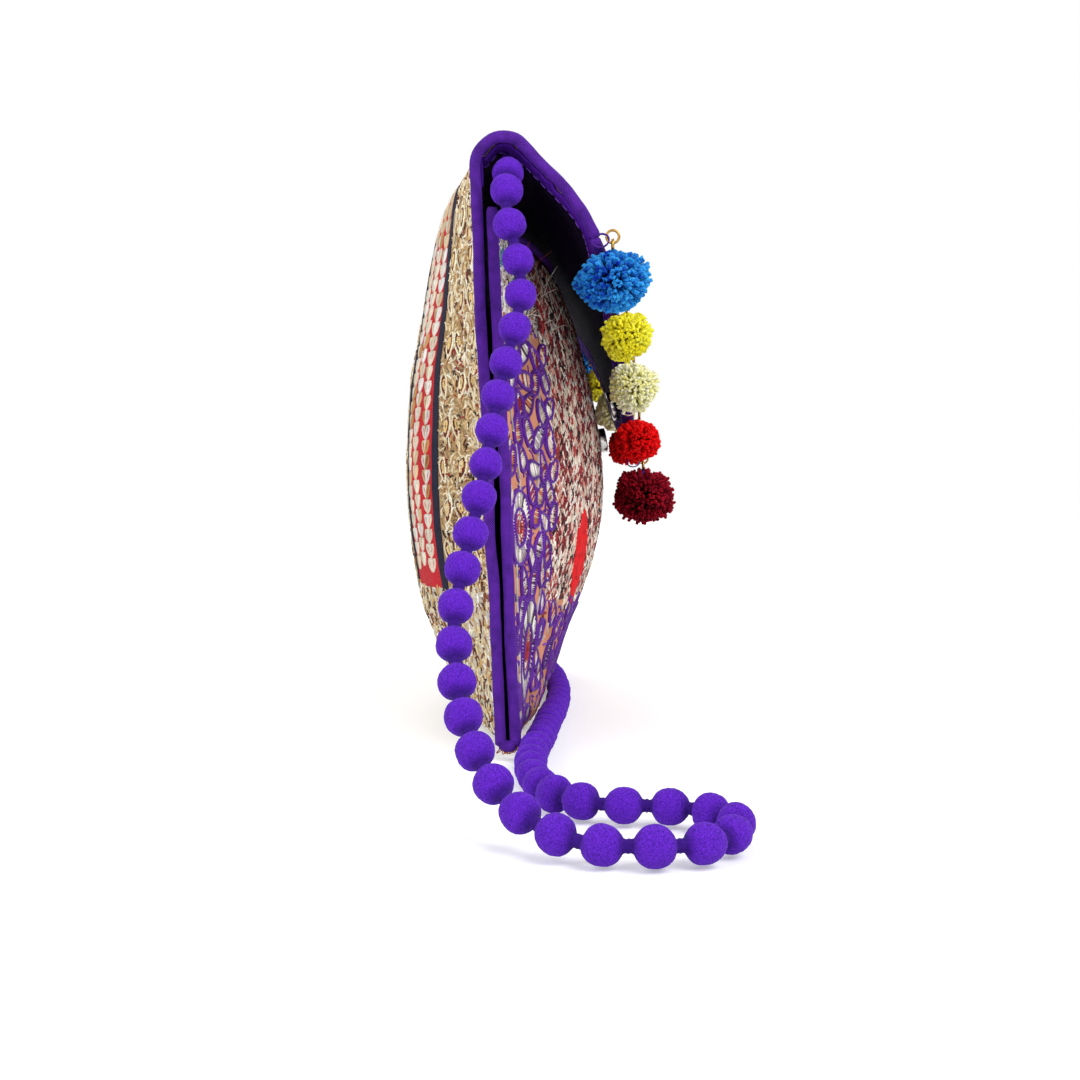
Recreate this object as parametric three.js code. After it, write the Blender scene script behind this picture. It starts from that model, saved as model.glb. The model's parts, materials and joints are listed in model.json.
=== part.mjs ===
// Envelope clutch bag: a stuffed cloth pouch with a pointed flap over its mouth, corded edges,
// a strap of felt balls and nine wool pompoms hung on rings along the flap's point.
// Millimetres, +Z up. X runs along the bag's width, the flap hangs over the front at -Y,
// and the origin is the middle of the flat underside.
import * as THREE from "three";

// Overall sizes of the bag
const bagWidth = 255; // over the side cords
const bagHeight = 200; // floor to the top of the fold at mid-width
const mouthHeight = 172; // floor to the front panel's upper edge
const mouthFront = 19; // how far the front panel's upper edge stands out at mid-width
const shoulderHeight = 190; // where the back turns into the fold, at mid-width
const frontBulge = 39; // how far the stuffed front stands out from the origin
const backBulge = 40;
const baseFront = 13; // flat underside, from the origin to the front
const baseBack = 14;
const bottomSeam = 4; // the seam under the bag lies this far behind the origin

// The two ends, where front and back are sewn together
const endShoulderHeight = 183;
const endFoldHeight = 198.5;
const endFoldFront = 4; // the fold's top lies this far in front of the origin there
const endHalfDepth = 3.2; // half of the depth over both cloths
const endLift = 3.6; // the bottom corners rise this far off the floor
const endLean = 8.5; // the top of the end seam lies this much further back than its foot
const flatShare = 0.45; // share of the half-width over which the underside lies flat

// The flap
const flapSide = 44; // fold to the flap's corners
const flapLength = 122; // fold to the flap's point
const flapCornerFront = 33; // place of the corners in front of the origin
const flapCornerHeight = 166.5;
const flapTipFront = 52.5; // place of the point
const flapTipHeight = 102;
const flapSag = 1; // the flap's middle hangs this far in front of a straight fall
const flapRunOut = [10, 60]; // the fall goes on this far out and down past the point
const flapCornerSwell = 4; // the cloth between fold and corners lies this far above a straight line

// Cloth, cords and the gap between pieces that touch
const clothThickness = 1.6;
const liningThickness = 0.8;
const cordDiameter = 3.4;
const clearance = 0.3;
const liningInset = 2; // the linings end this far inside the outer cloth's edges

// The closing stud and socket
const studDiameter = 10;
const studHeight = 3.4;
const studLevel = 108; // height of the stud on the front panel
const socketDiameter = 12;
const socketHeight = 2.4;
const socketFromTip = 22; // along the flap

// The rings and the pompoms
const ringRadius = 2; // to the middle of the wire
const wireRadius = 0.4;
const ringRise = 1.5; // a ring's middle lies this far above the cord's
const pompoms = [
  { colour: 0x1f56b8, radius: 8.4 },
  { colour: 0xe0a928, radius: 7.2 },
  { colour: 0xf2e7a6, radius: 8 },
  { colour: 0xb3202c, radius: 7.4 },
  { colour: 0x6d1230, radius: 10.4 },
];

// The strap
const strapDiameter = 10;
const strapSides = 10;
const strapSteps = 76;
const tabWidth = 7;
const tabThickness = 3;
const tabHeight = 10;
const tabFromEnd = 10.6; // the tab's middle, in from the cloth's end
// Middle of the strap: down from the left corner, out to a loop on the floor, back along the front
// of the underside and up to the right corner
const strapRoute = [
  [-119, -4, 188.6],
  [-125, -4.2, 186.4],
  [-131.5, -4, 181],
  [-135.8, -4, 172.5],
  [-138, -6.5, 161],
  [-140.5, -8.5, 149.5],
  [-145, -7.3, 138],
  [-150, -4.4, 125],
  [-156, -1.6, 112],
  [-163, 0.2, 99.4],
  [-171, 2.4, 86.3],
  [-178, 4.8, 74.5],
  [-186, 7.2, 62.6],
  [-194, 8.6, 50.8],
  [-203, 7.8, 39.6],
  [-213, 5.4, 28.9],
  [-225, 0.8, 19.4],
  [-236, -6, 12],
  [-245, -14.5, 7.4],
  [-251, -24, 5.3],
  [-254, -34, 5.2],
  [-254, -44, 5.2],
  [-249, -55, 5.2],
  [-234, -61.5, 5.2],
  [-219, -55, 5.2],
  [-214, -44, 5.2],
  [-212, -31, 5.2],
  [-203, -20, 5.2],
  [-184, -13.5, 5.2],
  [-158, -11.5, 5.2],
  [-132, -12.8, 5.2],
  [-107, -15.2, 5.2],
  [-72, -18, 5.2],
  [-38, -20.9, 5.2],
  [0, -22.1, 5.2],
  [38, -20.9, 5.2],
  [72, -18, 5.2],
  [104, -15.6, 5.2],
  [124, -15.6, 8],
  [136, -14.5, 18],
  [141, -12, 34],
  [141.5, -10, 58],
  [140.5, -9, 86],
  [139.5, -8.5, 114],
  [138.8, -8, 142],
  [137.5, -6.5, 162],
  [135.8, -4.4, 173.5],
  [131.5, -4, 181.5],
  [125, -4.2, 186.4],
  [119, -4, 188.6],
];

// How finely the cloth is divided
const columns = 14; // across the width, even so that one column runs through the flap's point
const wallRows = 10; // mouth to underside, and underside to shoulder
const foldRows = 3;
const flapRows = 8;
const cordSides = 8;
const turnedSides = 16;
const ringSides = [6, 10]; // round the wire and round the ring
const pompomSides = [12, 8];

const cordRadius = cordDiameter / 2;
const clothEnd = bagWidth / 2 - cordDiameter - clearance; // half the cloth's own width
const cordAcross = bagWidth / 2 - cordRadius; // the side cords' place in X

// Sections of the cloth in the YZ plane, drawn with x as the section's Y and y as its height

const spline = (points) =>
  new THREE.SplineCurve(points.map(([y, z]) => new THREE.Vector2(y, z)));

// Length along a spline up to one of the points it was drawn through
const lengthTo = (curve, index) => {
  const perSpan = 40;
  return curve.getLengths(perSpan * (curve.points.length - 1))[index * perSpan];
};

const pointAtLength = (curve, length) => curve.getPointAt(length / curve.getLength());

const seamLine = (height) => endLean * (height / bagHeight - 0.5);

const frontWallMiddle = spline([
  [-mouthFront, mouthHeight],
  [-0.75 * frontBulge, 0.86 * mouthHeight],
  [-0.93 * frontBulge, 0.7 * mouthHeight],
  [-frontBulge, 0.52 * mouthHeight],
  [-0.91 * frontBulge, 0.35 * mouthHeight],
  [-0.6 * frontBulge, 0.165 * mouthHeight],
  [-baseFront, 0],
]);

const frontWallEnd = spline([
  [seamLine(mouthHeight) - endHalfDepth, mouthHeight],
  [seamLine(endLift) - endHalfDepth, endLift + endHalfDepth / 2],
]);

// The flap's fall below its corners is the same at the ends and at mid-width
const flapFall = [
  [-flapCornerFront, flapCornerHeight],
  [-0.5 * (flapCornerFront + flapTipFront) - flapSag, 0.55 * flapCornerHeight + 0.45 * flapTipHeight],
  [-flapTipFront, flapTipHeight],
  [-flapTipFront - flapRunOut[0], flapTipHeight - flapRunOut[1]],
];

const backWallMiddle = [
  [baseBack, 0],
  [0.675 * backBulge, 0.15 * shoulderHeight],
  [0.87 * backBulge, 0.26 * shoulderHeight],
  [backBulge, 0.47 * shoulderHeight],
  [0.95 * backBulge, 0.66 * shoulderHeight],
  [0.825 * backBulge, 0.8 * shoulderHeight],
  [0.62 * backBulge, shoulderHeight],
];
const foldMiddle = [0.12 * backBulge, bagHeight];
const backMiddle = spline([
  ...backWallMiddle,
  [0.42 * backBulge, 0.25 * shoulderHeight + 0.75 * bagHeight],
  foldMiddle,
  [-0.4 * flapCornerFront, 0.7 * bagHeight + 0.3 * (flapCornerHeight + bagHeight) / 2],
  ...flapFall,
]);

const backWallEnd = [
  [seamLine(endLift) + endHalfDepth, endLift + endHalfDepth / 2],
  [seamLine(0.5 * endShoulderHeight) + endHalfDepth, 0.5 * endShoulderHeight],
  [seamLine(endShoulderHeight) + endHalfDepth, endShoulderHeight],
];
const backEnd = spline([
  ...backWallEnd,
  [0.55 * (seamLine(endShoulderHeight) + endHalfDepth), 0.3 * endShoulderHeight + 0.7 * endFoldHeight],
  [-endFoldFront, endFoldHeight],
  [-0.5 * (endFoldFront + flapCornerFront), 0.5 * (endFoldHeight + flapCornerHeight) + flapCornerSwell],
  ...flapFall,
]);

const backLengths = [backMiddle, backEnd].map((curve, i) => {
  const shoulder = [backWallMiddle, backWallEnd][i].length - 1;
  return { shoulder: lengthTo(curve, shoulder), fold: lengthTo(curve, shoulder + 2) };
});

// Share of the bulge that the cloth has at u, from -1 at one end of the bag to 1 at the other
const bulgeAt = (u) => Math.pow(1 - u * u, 1.5);
const settleAt = (u) => 1 - THREE.MathUtils.smoothstep(Math.abs(u), flatShare, 1);

const flapLengthAt = (u) => flapSide + (flapLength - flapSide) * (1 - Math.abs(u));

// One column of the outer cloth at u, from the front mouth down, under the bag, up the back,
// over the fold and down the flap to a length of its own, as points of the YZ plane
const sectionAt = (u, flapEnd = flapLengthAt(u)) => {
  const mix = (end, middle) =>
    new THREE.Vector2(
      THREE.MathUtils.lerp(end.x, middle.x, bulgeAt(u)),
      THREE.MathUtils.lerp(end.y, middle.y, settleAt(u)),
    );
  const seamMiddle = new THREE.Vector2(bottomSeam, 0);
  const seamEnd = new THREE.Vector2(seamLine(endLift), endLift);
  const seam = mix(seamEnd, seamMiddle);
  const half = new THREE.Vector2(clearance / 2, 0);
  const backAt = (middleLength, endLength) =>
    mix(pointAtLength(backEnd, endLength), pointAtLength(backMiddle, middleLength));
  const [middle, end] = backLengths;
  const points = [];
  for (let i = 0; i <= wallRows; i++) {
    points.push(mix(frontWallEnd.getPointAt(i / wallRows), frontWallMiddle.getPointAt(i / wallRows)));
  }
  points.push(seam.clone().sub(half), seam.clone().add(half));
  for (let i = 0; i <= wallRows; i++) {
    points.push(backAt((middle.shoulder * i) / wallRows, (end.shoulder * i) / wallRows));
  }
  for (let i = 1; i <= foldRows; i++) {
    const share = i / foldRows;
    points.push(
      backAt(
        THREE.MathUtils.lerp(middle.shoulder, middle.fold, share),
        THREE.MathUtils.lerp(end.shoulder, end.fold, share),
      ),
    );
  }
  for (let i = 1; i <= flapRows; i++) {
    const along = (flapEnd * i) / flapRows;
    points.push(backAt(middle.fold + along, end.fold + along));
  }
  return points;
};

const frontMouthRow = 0;
const frontSeamRow = wallRows + 1;
const backSeamRow = frontSeamRow + 1;
const shoulderRow = backSeamRow + 1 + wallRows;
const flapEndRow = shoulderRow + foldRows + flapRows;

// Direction into the bag at a point of a section: straight up at the bottom seam
const inwardAt = (points, i) => {
  if (i === frontSeamRow || i === backSeamRow) return new THREE.Vector2(0, 1);
  const ahead = points[Math.min(i + 1, points.length - 1)];
  const behind = points[Math.max(i - 1, 0)];
  const along = ahead.clone().sub(behind).normalize();
  return new THREE.Vector2(-along.y, along.x);
};

// A grid of points at a depth below the outer cloth, between two rows of the sections
const clothGrid = (depth, firstRow, lastRow, endInset, flapInset = 0) => {
  const grid = [];
  for (let i = 0; i <= columns; i++) {
    const u = (2 * i) / columns - 1;
    const x = THREE.MathUtils.clamp(u * clothEnd, endInset - clothEnd, clothEnd - endInset);
    const points = sectionAt(x / clothEnd, flapLengthAt(u) - flapInset);
    const column = [];
    for (let row = firstRow; row <= lastRow; row++) {
      const p = points[row].clone().addScaledVector(inwardAt(points, row), depth);
      column.push(new THREE.Vector3(x, p.x, p.y));
    }
    grid.push(column);
  }
  return grid;
};

// Closed solids from grids and from stations along a path

const solidFrom = (vertices, faces) => {
  const geometry = new THREE.BufferGeometry().setFromPoints(vertices);
  geometry.setIndex(faces.flatMap(([a, b, c, d]) => [a, b, c, a, c, d]));
  geometry.computeVertexNormals();
  return geometry;
};

const gridIndex = (grid) => {
  const rows = grid[0].length;
  return (column, row, layer) => layer * grid.length * rows + column * rows + row;
};

// The two faces of a sheet, without its edges
const sheetFaces = (grid) => {
  const at = gridIndex(grid);
  const faces = [];
  for (let c = 0; c < grid.length - 1; c++) {
    for (let r = 0; r < grid[0].length - 1; r++) {
      faces.push([at(c, r, 0), at(c, r + 1, 0), at(c + 1, r + 1, 0), at(c + 1, r, 0)]);
      faces.push([at(c, r, 1), at(c + 1, r, 1), at(c + 1, r + 1, 1), at(c, r + 1, 1)]);
    }
  }
  return faces;
};

// Edge strips of a sheet along its first and last row
const rowEdges = (grid) => {
  const at = gridIndex(grid);
  const last = grid[0].length - 1;
  const faces = [];
  for (let c = 0; c < grid.length - 1; c++) {
    faces.push([at(c, 0, 0), at(c + 1, 0, 0), at(c + 1, 0, 1), at(c, 0, 1)]);
    faces.push([at(c, last, 0), at(c, last, 1), at(c + 1, last, 1), at(c + 1, last, 0)]);
  }
  return faces;
};

const sheetSolid = (outer, inner) => {
  const at = gridIndex(outer);
  const last = outer.length - 1;
  const faces = [...sheetFaces(outer), ...rowEdges(outer)];
  for (let r = 0; r < outer[0].length - 1; r++) {
    faces.push([at(0, r, 0), at(0, r, 1), at(0, r + 1, 1), at(0, r + 1, 0)]);
    faces.push([at(last, r, 0), at(last, r + 1, 0), at(last, r + 1, 1), at(last, r, 1)]);
  }
  return solidFrom([...outer.flat(), ...inner.flat()], faces);
};

// A folded sheet whose two ends are closed by walls between its front and its back, open at the mouth
const pouchSolid = (outer, inner) => {
  const at = gridIndex(outer);
  const lastColumn = outer.length - 1;
  const lastRow = outer[0].length - 1;
  const faces = [...sheetFaces(outer), ...rowEdges(outer)];
  for (let r = 0; r < (lastRow - 1) / 2; r++) {
    const wall = (column, layer) => [
      at(column, r, layer),
      at(column, lastRow - r, layer),
      at(column, lastRow - r - 1, layer),
      at(column, r + 1, layer),
    ];
    faces.push(wall(0, 0), wall(lastColumn, 0).reverse());
    faces.push(wall(0, 1).reverse(), wall(lastColumn, 1));
  }
  const rim = (column) => [
    at(column, 0, 0),
    at(column, 0, 1),
    at(column, lastRow, 1),
    at(column, lastRow, 0),
  ];
  faces.push(rim(0), rim(lastColumn).reverse());
  return solidFrom([...outer.flat(), ...inner.flat()], faces);
};

// A round cord through stations, with flat ends
const cordSolid = (stations, radius, sides) => {
  const tangents = stations.map((p, i) => {
    const ahead = stations[Math.min(i + 1, stations.length - 1)];
    const behind = stations[Math.max(i - 1, 0)];
    return ahead.clone().sub(behind).normalize();
  });
  const side = new THREE.Vector3(1, 0, 0);
  if (Math.abs(side.dot(tangents[0])) > 0.8) side.set(0, 0, 1);
  const vertices = [];
  stations.forEach((p, i) => {
    side.addScaledVector(tangents[i], -side.dot(tangents[i])).normalize();
    const other = tangents[i].clone().cross(side);
    for (let k = 0; k < sides; k++) {
      const angle = (2 * Math.PI * k) / sides;
      const reach = side.clone().multiplyScalar(radius * Math.cos(angle));
      vertices.push(p.clone().add(reach).addScaledVector(other, radius * Math.sin(angle)));
    }
  });
  const faces = [];
  for (let i = 0; i < stations.length - 1; i++) {
    for (let k = 0; k < sides; k++) {
      const next = (k + 1) % sides;
      faces.push([i * sides + k, i * sides + next, (i + 1) * sides + next, (i + 1) * sides + k]);
    }
  }
  const first = vertices.push(stations[0].clone()) - 1;
  const last = vertices.push(stations[stations.length - 1].clone()) - 1;
  const lastRing = (stations.length - 1) * sides;
  const geometry = solidFrom(vertices, faces);
  const caps = [];
  for (let k = 0; k < sides; k++) {
    const next = (k + 1) % sides;
    caps.push(first, next, k, last, lastRing + k, lastRing + next);
  }
  geometry.setIndex([...geometry.index.array, ...caps]);
  return geometry;
};

// Materials
const cloth = (colour) => new THREE.MeshStandardMaterial({ color: colour, roughness: 0.85, metalness: 0 });
const metal = (colour) => new THREE.MeshStandardMaterial({ color: colour, roughness: 0.3, metalness: 1 });
const frontCloth = cloth(0xd9977a);
const backCloth = cloth(0xc8a873);
const purpleCloth = cloth(0x5a1b9c);
const darkLining = cloth(0x1c0b2c);
const brass = metal(0xc9a24a);
const nickel = metal(0xc8c8cc);

const bag = new THREE.Group();
const add = (name, geometry, material, parent = bag) => {
  const mesh = new THREE.Mesh(geometry, material);
  mesh.name = name;
  parent.add(mesh);
  return mesh;
};

// The outer cloths and the linings
const liningOuter = clothThickness + clearance;
const liningInner = liningOuter + liningThickness;
const sheet = (outerDepth, innerDepth, firstRow, lastRow, endInset, flapInset) =>
  sheetSolid(
    clothGrid(outerDepth, firstRow, lastRow, endInset, flapInset),
    clothGrid(innerDepth, firstRow, lastRow, endInset, flapInset),
  );

add("front_panel", sheet(0, clothThickness, frontMouthRow, frontSeamRow, 0), frontCloth);
add("back_panel_with_flap", sheet(0, clothThickness, backSeamRow, flapEndRow, 0), backCloth);
add(
  "pouch_lining",
  pouchSolid(
    clothGrid(liningOuter, frontMouthRow, shoulderRow, liningInset),
    clothGrid(liningInner, frontMouthRow, shoulderRow, liningInset + liningThickness),
  ),
  darkLining,
);

// The flap lining starts just above the pouch lining's back edge
const flapLiningGrid = (depth) => {
  const grid = clothGrid(depth, shoulderRow, flapEndRow, liningInset, liningInset);
  for (const column of grid) {
    const step = column[1].clone().sub(column[0]);
    column[0].addScaledVector(step.normalize(), clearance);
  }
  return grid;
};
const flapLining = add(
  "flap_lining",
  sheetSolid(flapLiningGrid(liningOuter), flapLiningGrid(liningInner)),
  darkLining,
);

// Middle of the outer cloth's thickness at one length along the flap
const flapPoint = (u, along, depth = clothThickness / 2) => {
  const points = sectionAt(u, along);
  const inward = inwardAt(points, flapEndRow);
  const p = points[flapEndRow].clone().addScaledVector(inward, depth);
  return { place: new THREE.Vector3(u * clothEnd, p.x, p.y), inward };
};

// Side cords: up the front side from below its mouth corner, round the bottom corner and over the back
const sideCordStations = (sideSign) => {
  const points = sectionAt(1, flapSide - cordRadius);
  const middleOf = (row) => points[row].clone().addScaledVector(inwardAt(points, row), clothThickness / 2);
  const frontTop = middleOf(frontMouthRow);
  const turnCentre = new THREE.Vector2(seamLine(endLift), endLift + endHalfDepth);
  const turnRadius = endHalfDepth - clothThickness / 2;
  const turnSteps = 6;
  const path = [new THREE.Vector2(frontTop.x, frontTop.y + cordDiameter)];
  for (let i = 0; i <= turnSteps; i++) {
    const angle = Math.PI * (1 + i / turnSteps);
    const reach = new THREE.Vector2(Math.cos(angle), Math.sin(angle)).multiplyScalar(turnRadius);
    path.push(turnCentre.clone().add(reach));
  }
  for (let row = backSeamRow + 3; row <= flapEndRow; row++) path.push(middleOf(row));
  return path.map((p) => new THREE.Vector3(sideSign * cordAcross, p.x, p.y));
};
add("side_cord_left", cordSolid(sideCordStations(-1), cordRadius, cordSides), purpleCloth);
add("side_cord_right", cordSolid(sideCordStations(1), cordRadius, cordSides), purpleCloth);

// Flap cord: along the flap's pointed edge, clear of the cloth, with its ends in line with the side cords
const cordPastCloth = cordRadius + clearance;
const flapCordStations = (() => {
  const edge = [];
  const fall = [];
  const away = []; // out of the edge, square to each of its straight pieces
  for (let i = 0; i <= columns; i++) {
    const u = (2 * i) / columns - 1;
    edge.push(flapPoint(u, flapLengthAt(u)).place);
    fall.push(flapPoint(u, flapLengthAt(u) + cordPastCloth).place.sub(edge[i]));
    if (i === 0) continue;
    const along = edge[i].clone().sub(edge[i - 1]).normalize();
    const out = fall[i].clone().add(fall[i - 1]);
    away.push(out.addScaledVector(along, -out.dot(along)).normalize());
  }
  return edge.map((place, i) => {
    const before = away[Math.max(i - 1, 0)];
    const after = away[Math.min(i, columns - 1)];
    const out = before.clone().add(after).normalize();
    const station = place.clone().addScaledVector(out, cordPastCloth / out.dot(after));
    if (i > 0 && i < columns) return station;
    const neighbour = edge[i === 0 ? 1 : columns - 1];
    const along = place.clone().sub(neighbour);
    return station.addScaledVector(along, (Math.sign(along.x) * cordAcross - station.x) / along.x);
  });
})();
add("flap_cord", cordSolid(flapCordStations, cordRadius, cordSides), purpleCloth);

// Middle of the flap cord at u
const flapCordPoint = (u) => {
  if (Math.abs(u) === 1) return flapCordStations[u < 0 ? 0 : columns].clone();
  const x = u * clothEnd;
  const next = flapCordStations.findIndex((p) => p.x > x);
  const [a, b] = [flapCordStations[next - 1], flapCordStations[next]];
  return a.clone().lerp(b, (x - a.x) / (b.x - a.x));
};

// Mouth cord: along the front panel's upper edge
const mouthCordDepth = liningOuter + 2 * clearance - cordRadius; // its inner side stays clear of the lining
const mouthCordStations = clothGrid(mouthCordDepth, frontMouthRow, frontMouthRow, 0).map(
  ([p]) => new THREE.Vector3(p.x, p.y, p.z + cordPastCloth),
);
add("mouth_cord", cordSolid(mouthCordStations, cordRadius, cordSides), purpleCloth);

// Closing stud on the front panel, and the socket that it meets under the flap
const turned = (profile) =>
  new THREE.LatheGeometry(profile.map(([r, h]) => new THREE.Vector2(r, h)), turnedSides);
const lookAlong = (mesh, y, z) =>
  mesh.quaternion.setFromUnitVectors(new THREE.Vector3(0, 1, 0), new THREE.Vector3(0, y, z).normalize());

const stud = add(
  "closing_stud",
  turned([
    [0, 0],
    [studDiameter / 2, 0],
    [studDiameter / 2, 0.4 * studHeight],
    [studDiameter / 4, 0.5 * studHeight],
    [studDiameter / 4, studHeight],
    [0, studHeight],
  ]),
  nickel,
);
const wallSamples = 200;
const studShare =
  frontWallMiddle.getSpacedPoints(wallSamples).findIndex((p) => p.y < studLevel) / wallSamples;
const studTangent = frontWallMiddle.getTangentAt(studShare);
const studOut = new THREE.Vector2(studTangent.y, -studTangent.x);
const studSeat = frontWallMiddle.getPointAt(studShare).addScaledVector(studOut, clearance);
lookAlong(stud, studOut.x, studOut.y);
stud.position.set(0, studSeat.x, studSeat.y);

const socket = add(
  "closing_socket",
  turned([
    [0, 0],
    [socketDiameter / 2, 0],
    [socketDiameter / 2, 0.6 * socketHeight],
    [0.42 * socketDiameter, socketHeight],
    [studDiameter / 4 + clearance, socketHeight],
    [studDiameter / 4 + clearance, 0.5 * socketHeight],
    [0, 0.5 * socketHeight],
  ]),
  nickel,
);
const socketSeat = flapPoint(0, flapLength - socketFromTip, liningInner + clearance);
socket.position.copy(socketSeat.place);
lookAlong(socket, socketSeat.inward.x, socketSeat.inward.y);

// Rings and pompoms: nine places along the flap's point, from the left corner to the right one.
// An upper ring stands out in front of the flap cord. The lower ring hangs in it and slides round it,
// so that it turns with its pompom about the upper ring's own axis.
const ring = () => new THREE.TorusGeometry(ringRadius, wireRadius, ...ringSides);
const ringReach = ringRadius + wireRadius;
const lowerRingDrop = 2 * (ringRadius - wireRadius) - clearance;
const pompomCount = 2 * pompoms.length - 1;
for (let i = 0; i < pompomCount; i++) {
  const name = `pompom_${i + 1}`;
  const { colour, radius } = pompoms[Math.min(i, pompomCount - 1 - i)];
  const place = flapCordPoint((2 * i) / (pompomCount - 1) - 1);
  const hanger = new THREE.Group();
  hanger.position.set(place.x, place.y - cordRadius - clearance - ringReach, place.z + ringRise);
  bag.add(hanger);
  add(`${name}_upper_ring`, ring(), brass, hanger).rotation.y = Math.PI / 2;

  const lower = add(`${name}_lower_ring`, ring(), brass, hanger);
  lower.rotation.x = Math.PI / 2;
  lower.position.z = -lowerRingDrop;

  const ball = add(name, new THREE.SphereGeometry(radius, ...pompomSides), cloth(colour), hanger);
  ball.rotation.x = Math.PI / 2;
  ball.position.z = -(lowerRingDrop + ringReach + clearance + radius);
}

// Strap, and the cloth tabs that hold its ends under the fold
const strapSection = new THREE.Shape();
for (let k = 0; k < strapSides; k++) {
  const angle = (2 * Math.PI * k) / strapSides;
  const x = (strapDiameter / 2) * Math.cos(angle);
  const y = (strapDiameter / 2) * Math.sin(angle);
  if (k === 0) strapSection.moveTo(x, y);
  else strapSection.lineTo(x, y);
}
const strapPath = new THREE.CatmullRomCurve3(strapRoute.map((p) => new THREE.Vector3(...p)));
add(
  "ball_strap",
  new THREE.ExtrudeGeometry(strapSection, { steps: strapSteps, extrudePath: strapPath }),
  purpleCloth,
);

// Each tab hangs just below the lining, whose lowest height over the tab's corners is found from below
const foldRow = shoulderRow + foldRows;
const tabAcross = clothEnd - tabFromEnd;
const tabSection = sectionAt(tabAcross / clothEnd);
const tabPlace = tabSection[foldRow].clone().addScaledVector(inwardAt(tabSection, foldRow), liningInner);
const heightOfLining = (x, y) => {
  const from = new THREE.Vector3(x, y, endShoulderHeight);
  return new THREE.Raycaster(from, new THREE.Vector3(0, 0, 1)).intersectObject(flapLining)[0].point.z;
};
for (const [side, sign] of [
  ["left", -1],
  ["right", 1],
]) {
  const heights = [-1, 1].flatMap((dx) =>
    [-1, 1].map((dy) =>
      heightOfLining(sign * tabAcross + (dx * tabWidth) / 2, tabPlace.x + (dy * tabThickness) / 2),
    ),
  );
  const tab = add(
    `strap_tab_${side}`,
    new THREE.BoxGeometry(tabWidth, tabThickness, tabHeight),
    purpleCloth,
  );
  tab.position.set(sign * tabAcross, tabPlace.x, Math.min(...heights) - clearance - tabHeight / 2);
}

export default bag;
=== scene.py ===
# %% [markdown]
# # An embroidered envelope clutch with pompoms
# The bag is a stuffed pouch of patchwork cloth with a pointed flap, corded edges, a strap of felt balls
# and nine wool pompoms on rings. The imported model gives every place, so each piece here is made where
# its solid is, and hides it.

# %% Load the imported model
import json
import math

import bmesh
import bpy
import numpy as np
from mathutils import Matrix, Vector


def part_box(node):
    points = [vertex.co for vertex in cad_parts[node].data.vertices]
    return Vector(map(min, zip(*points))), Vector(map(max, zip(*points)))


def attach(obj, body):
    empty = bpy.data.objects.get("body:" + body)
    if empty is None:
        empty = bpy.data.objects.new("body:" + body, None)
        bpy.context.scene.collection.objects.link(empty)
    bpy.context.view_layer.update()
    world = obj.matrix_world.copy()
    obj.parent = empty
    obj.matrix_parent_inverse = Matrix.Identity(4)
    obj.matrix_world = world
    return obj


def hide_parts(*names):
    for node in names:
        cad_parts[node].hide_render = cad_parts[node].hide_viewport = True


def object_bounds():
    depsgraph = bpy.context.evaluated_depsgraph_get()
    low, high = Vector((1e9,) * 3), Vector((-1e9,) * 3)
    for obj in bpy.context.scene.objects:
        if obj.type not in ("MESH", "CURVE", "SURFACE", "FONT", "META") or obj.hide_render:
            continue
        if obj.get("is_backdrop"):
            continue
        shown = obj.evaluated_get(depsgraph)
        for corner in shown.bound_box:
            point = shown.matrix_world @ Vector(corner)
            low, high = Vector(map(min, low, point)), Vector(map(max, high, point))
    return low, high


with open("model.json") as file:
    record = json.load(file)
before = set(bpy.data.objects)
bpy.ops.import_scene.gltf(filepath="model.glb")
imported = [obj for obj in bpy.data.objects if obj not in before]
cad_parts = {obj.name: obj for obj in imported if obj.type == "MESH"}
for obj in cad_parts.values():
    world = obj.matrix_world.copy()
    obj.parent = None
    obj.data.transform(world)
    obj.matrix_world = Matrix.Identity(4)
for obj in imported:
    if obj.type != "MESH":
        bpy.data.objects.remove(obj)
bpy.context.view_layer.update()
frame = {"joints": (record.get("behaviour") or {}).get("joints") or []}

MM = 0.001
rng = np.random.default_rng(11)

# %% [markdown]
# ## Camera, floor and light
# The bag is seen from its end, so the camera stands on the -X side, a little above half its height, and
# looks along +X with a slight tilt down. The floor and the world are pale, and three broad lamps give soft
# light at a level where a colour renders about as it is written.

# %% Camera
lens_mm = 44.7
camera_place = (-0.552, -0.0143, 0.0815)
tilt = math.radians(1.5)
camera_data = bpy.data.cameras.new("end_view")
camera_data.sensor_width = 36
camera_data.lens = lens_mm
camera = bpy.data.objects.new("end_view", camera_data)
look = Vector((math.cos(tilt), 0, -math.sin(tilt)))
camera.location = camera_place
camera.rotation_euler = look.to_track_quat("-Z", "Y").to_euler()
bpy.context.scene.collection.objects.link(camera)
bpy.context.scene.camera = camera
bpy.context.scene.view_settings.view_transform = "Standard"
print("camera looks along", tuple(round(v, 3) for v in look))


# %% Colours and materials
def srgb(*rgb):
    """A colour given as 0 to 255, as the linear numbers that shaders take."""
    out = []
    for value in rgb:
        v = value / 255
        out.append(v / 12.92 if v <= 0.04045 else ((v + 0.055) / 1.055) ** 2.4)
    return tuple(out)


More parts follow.
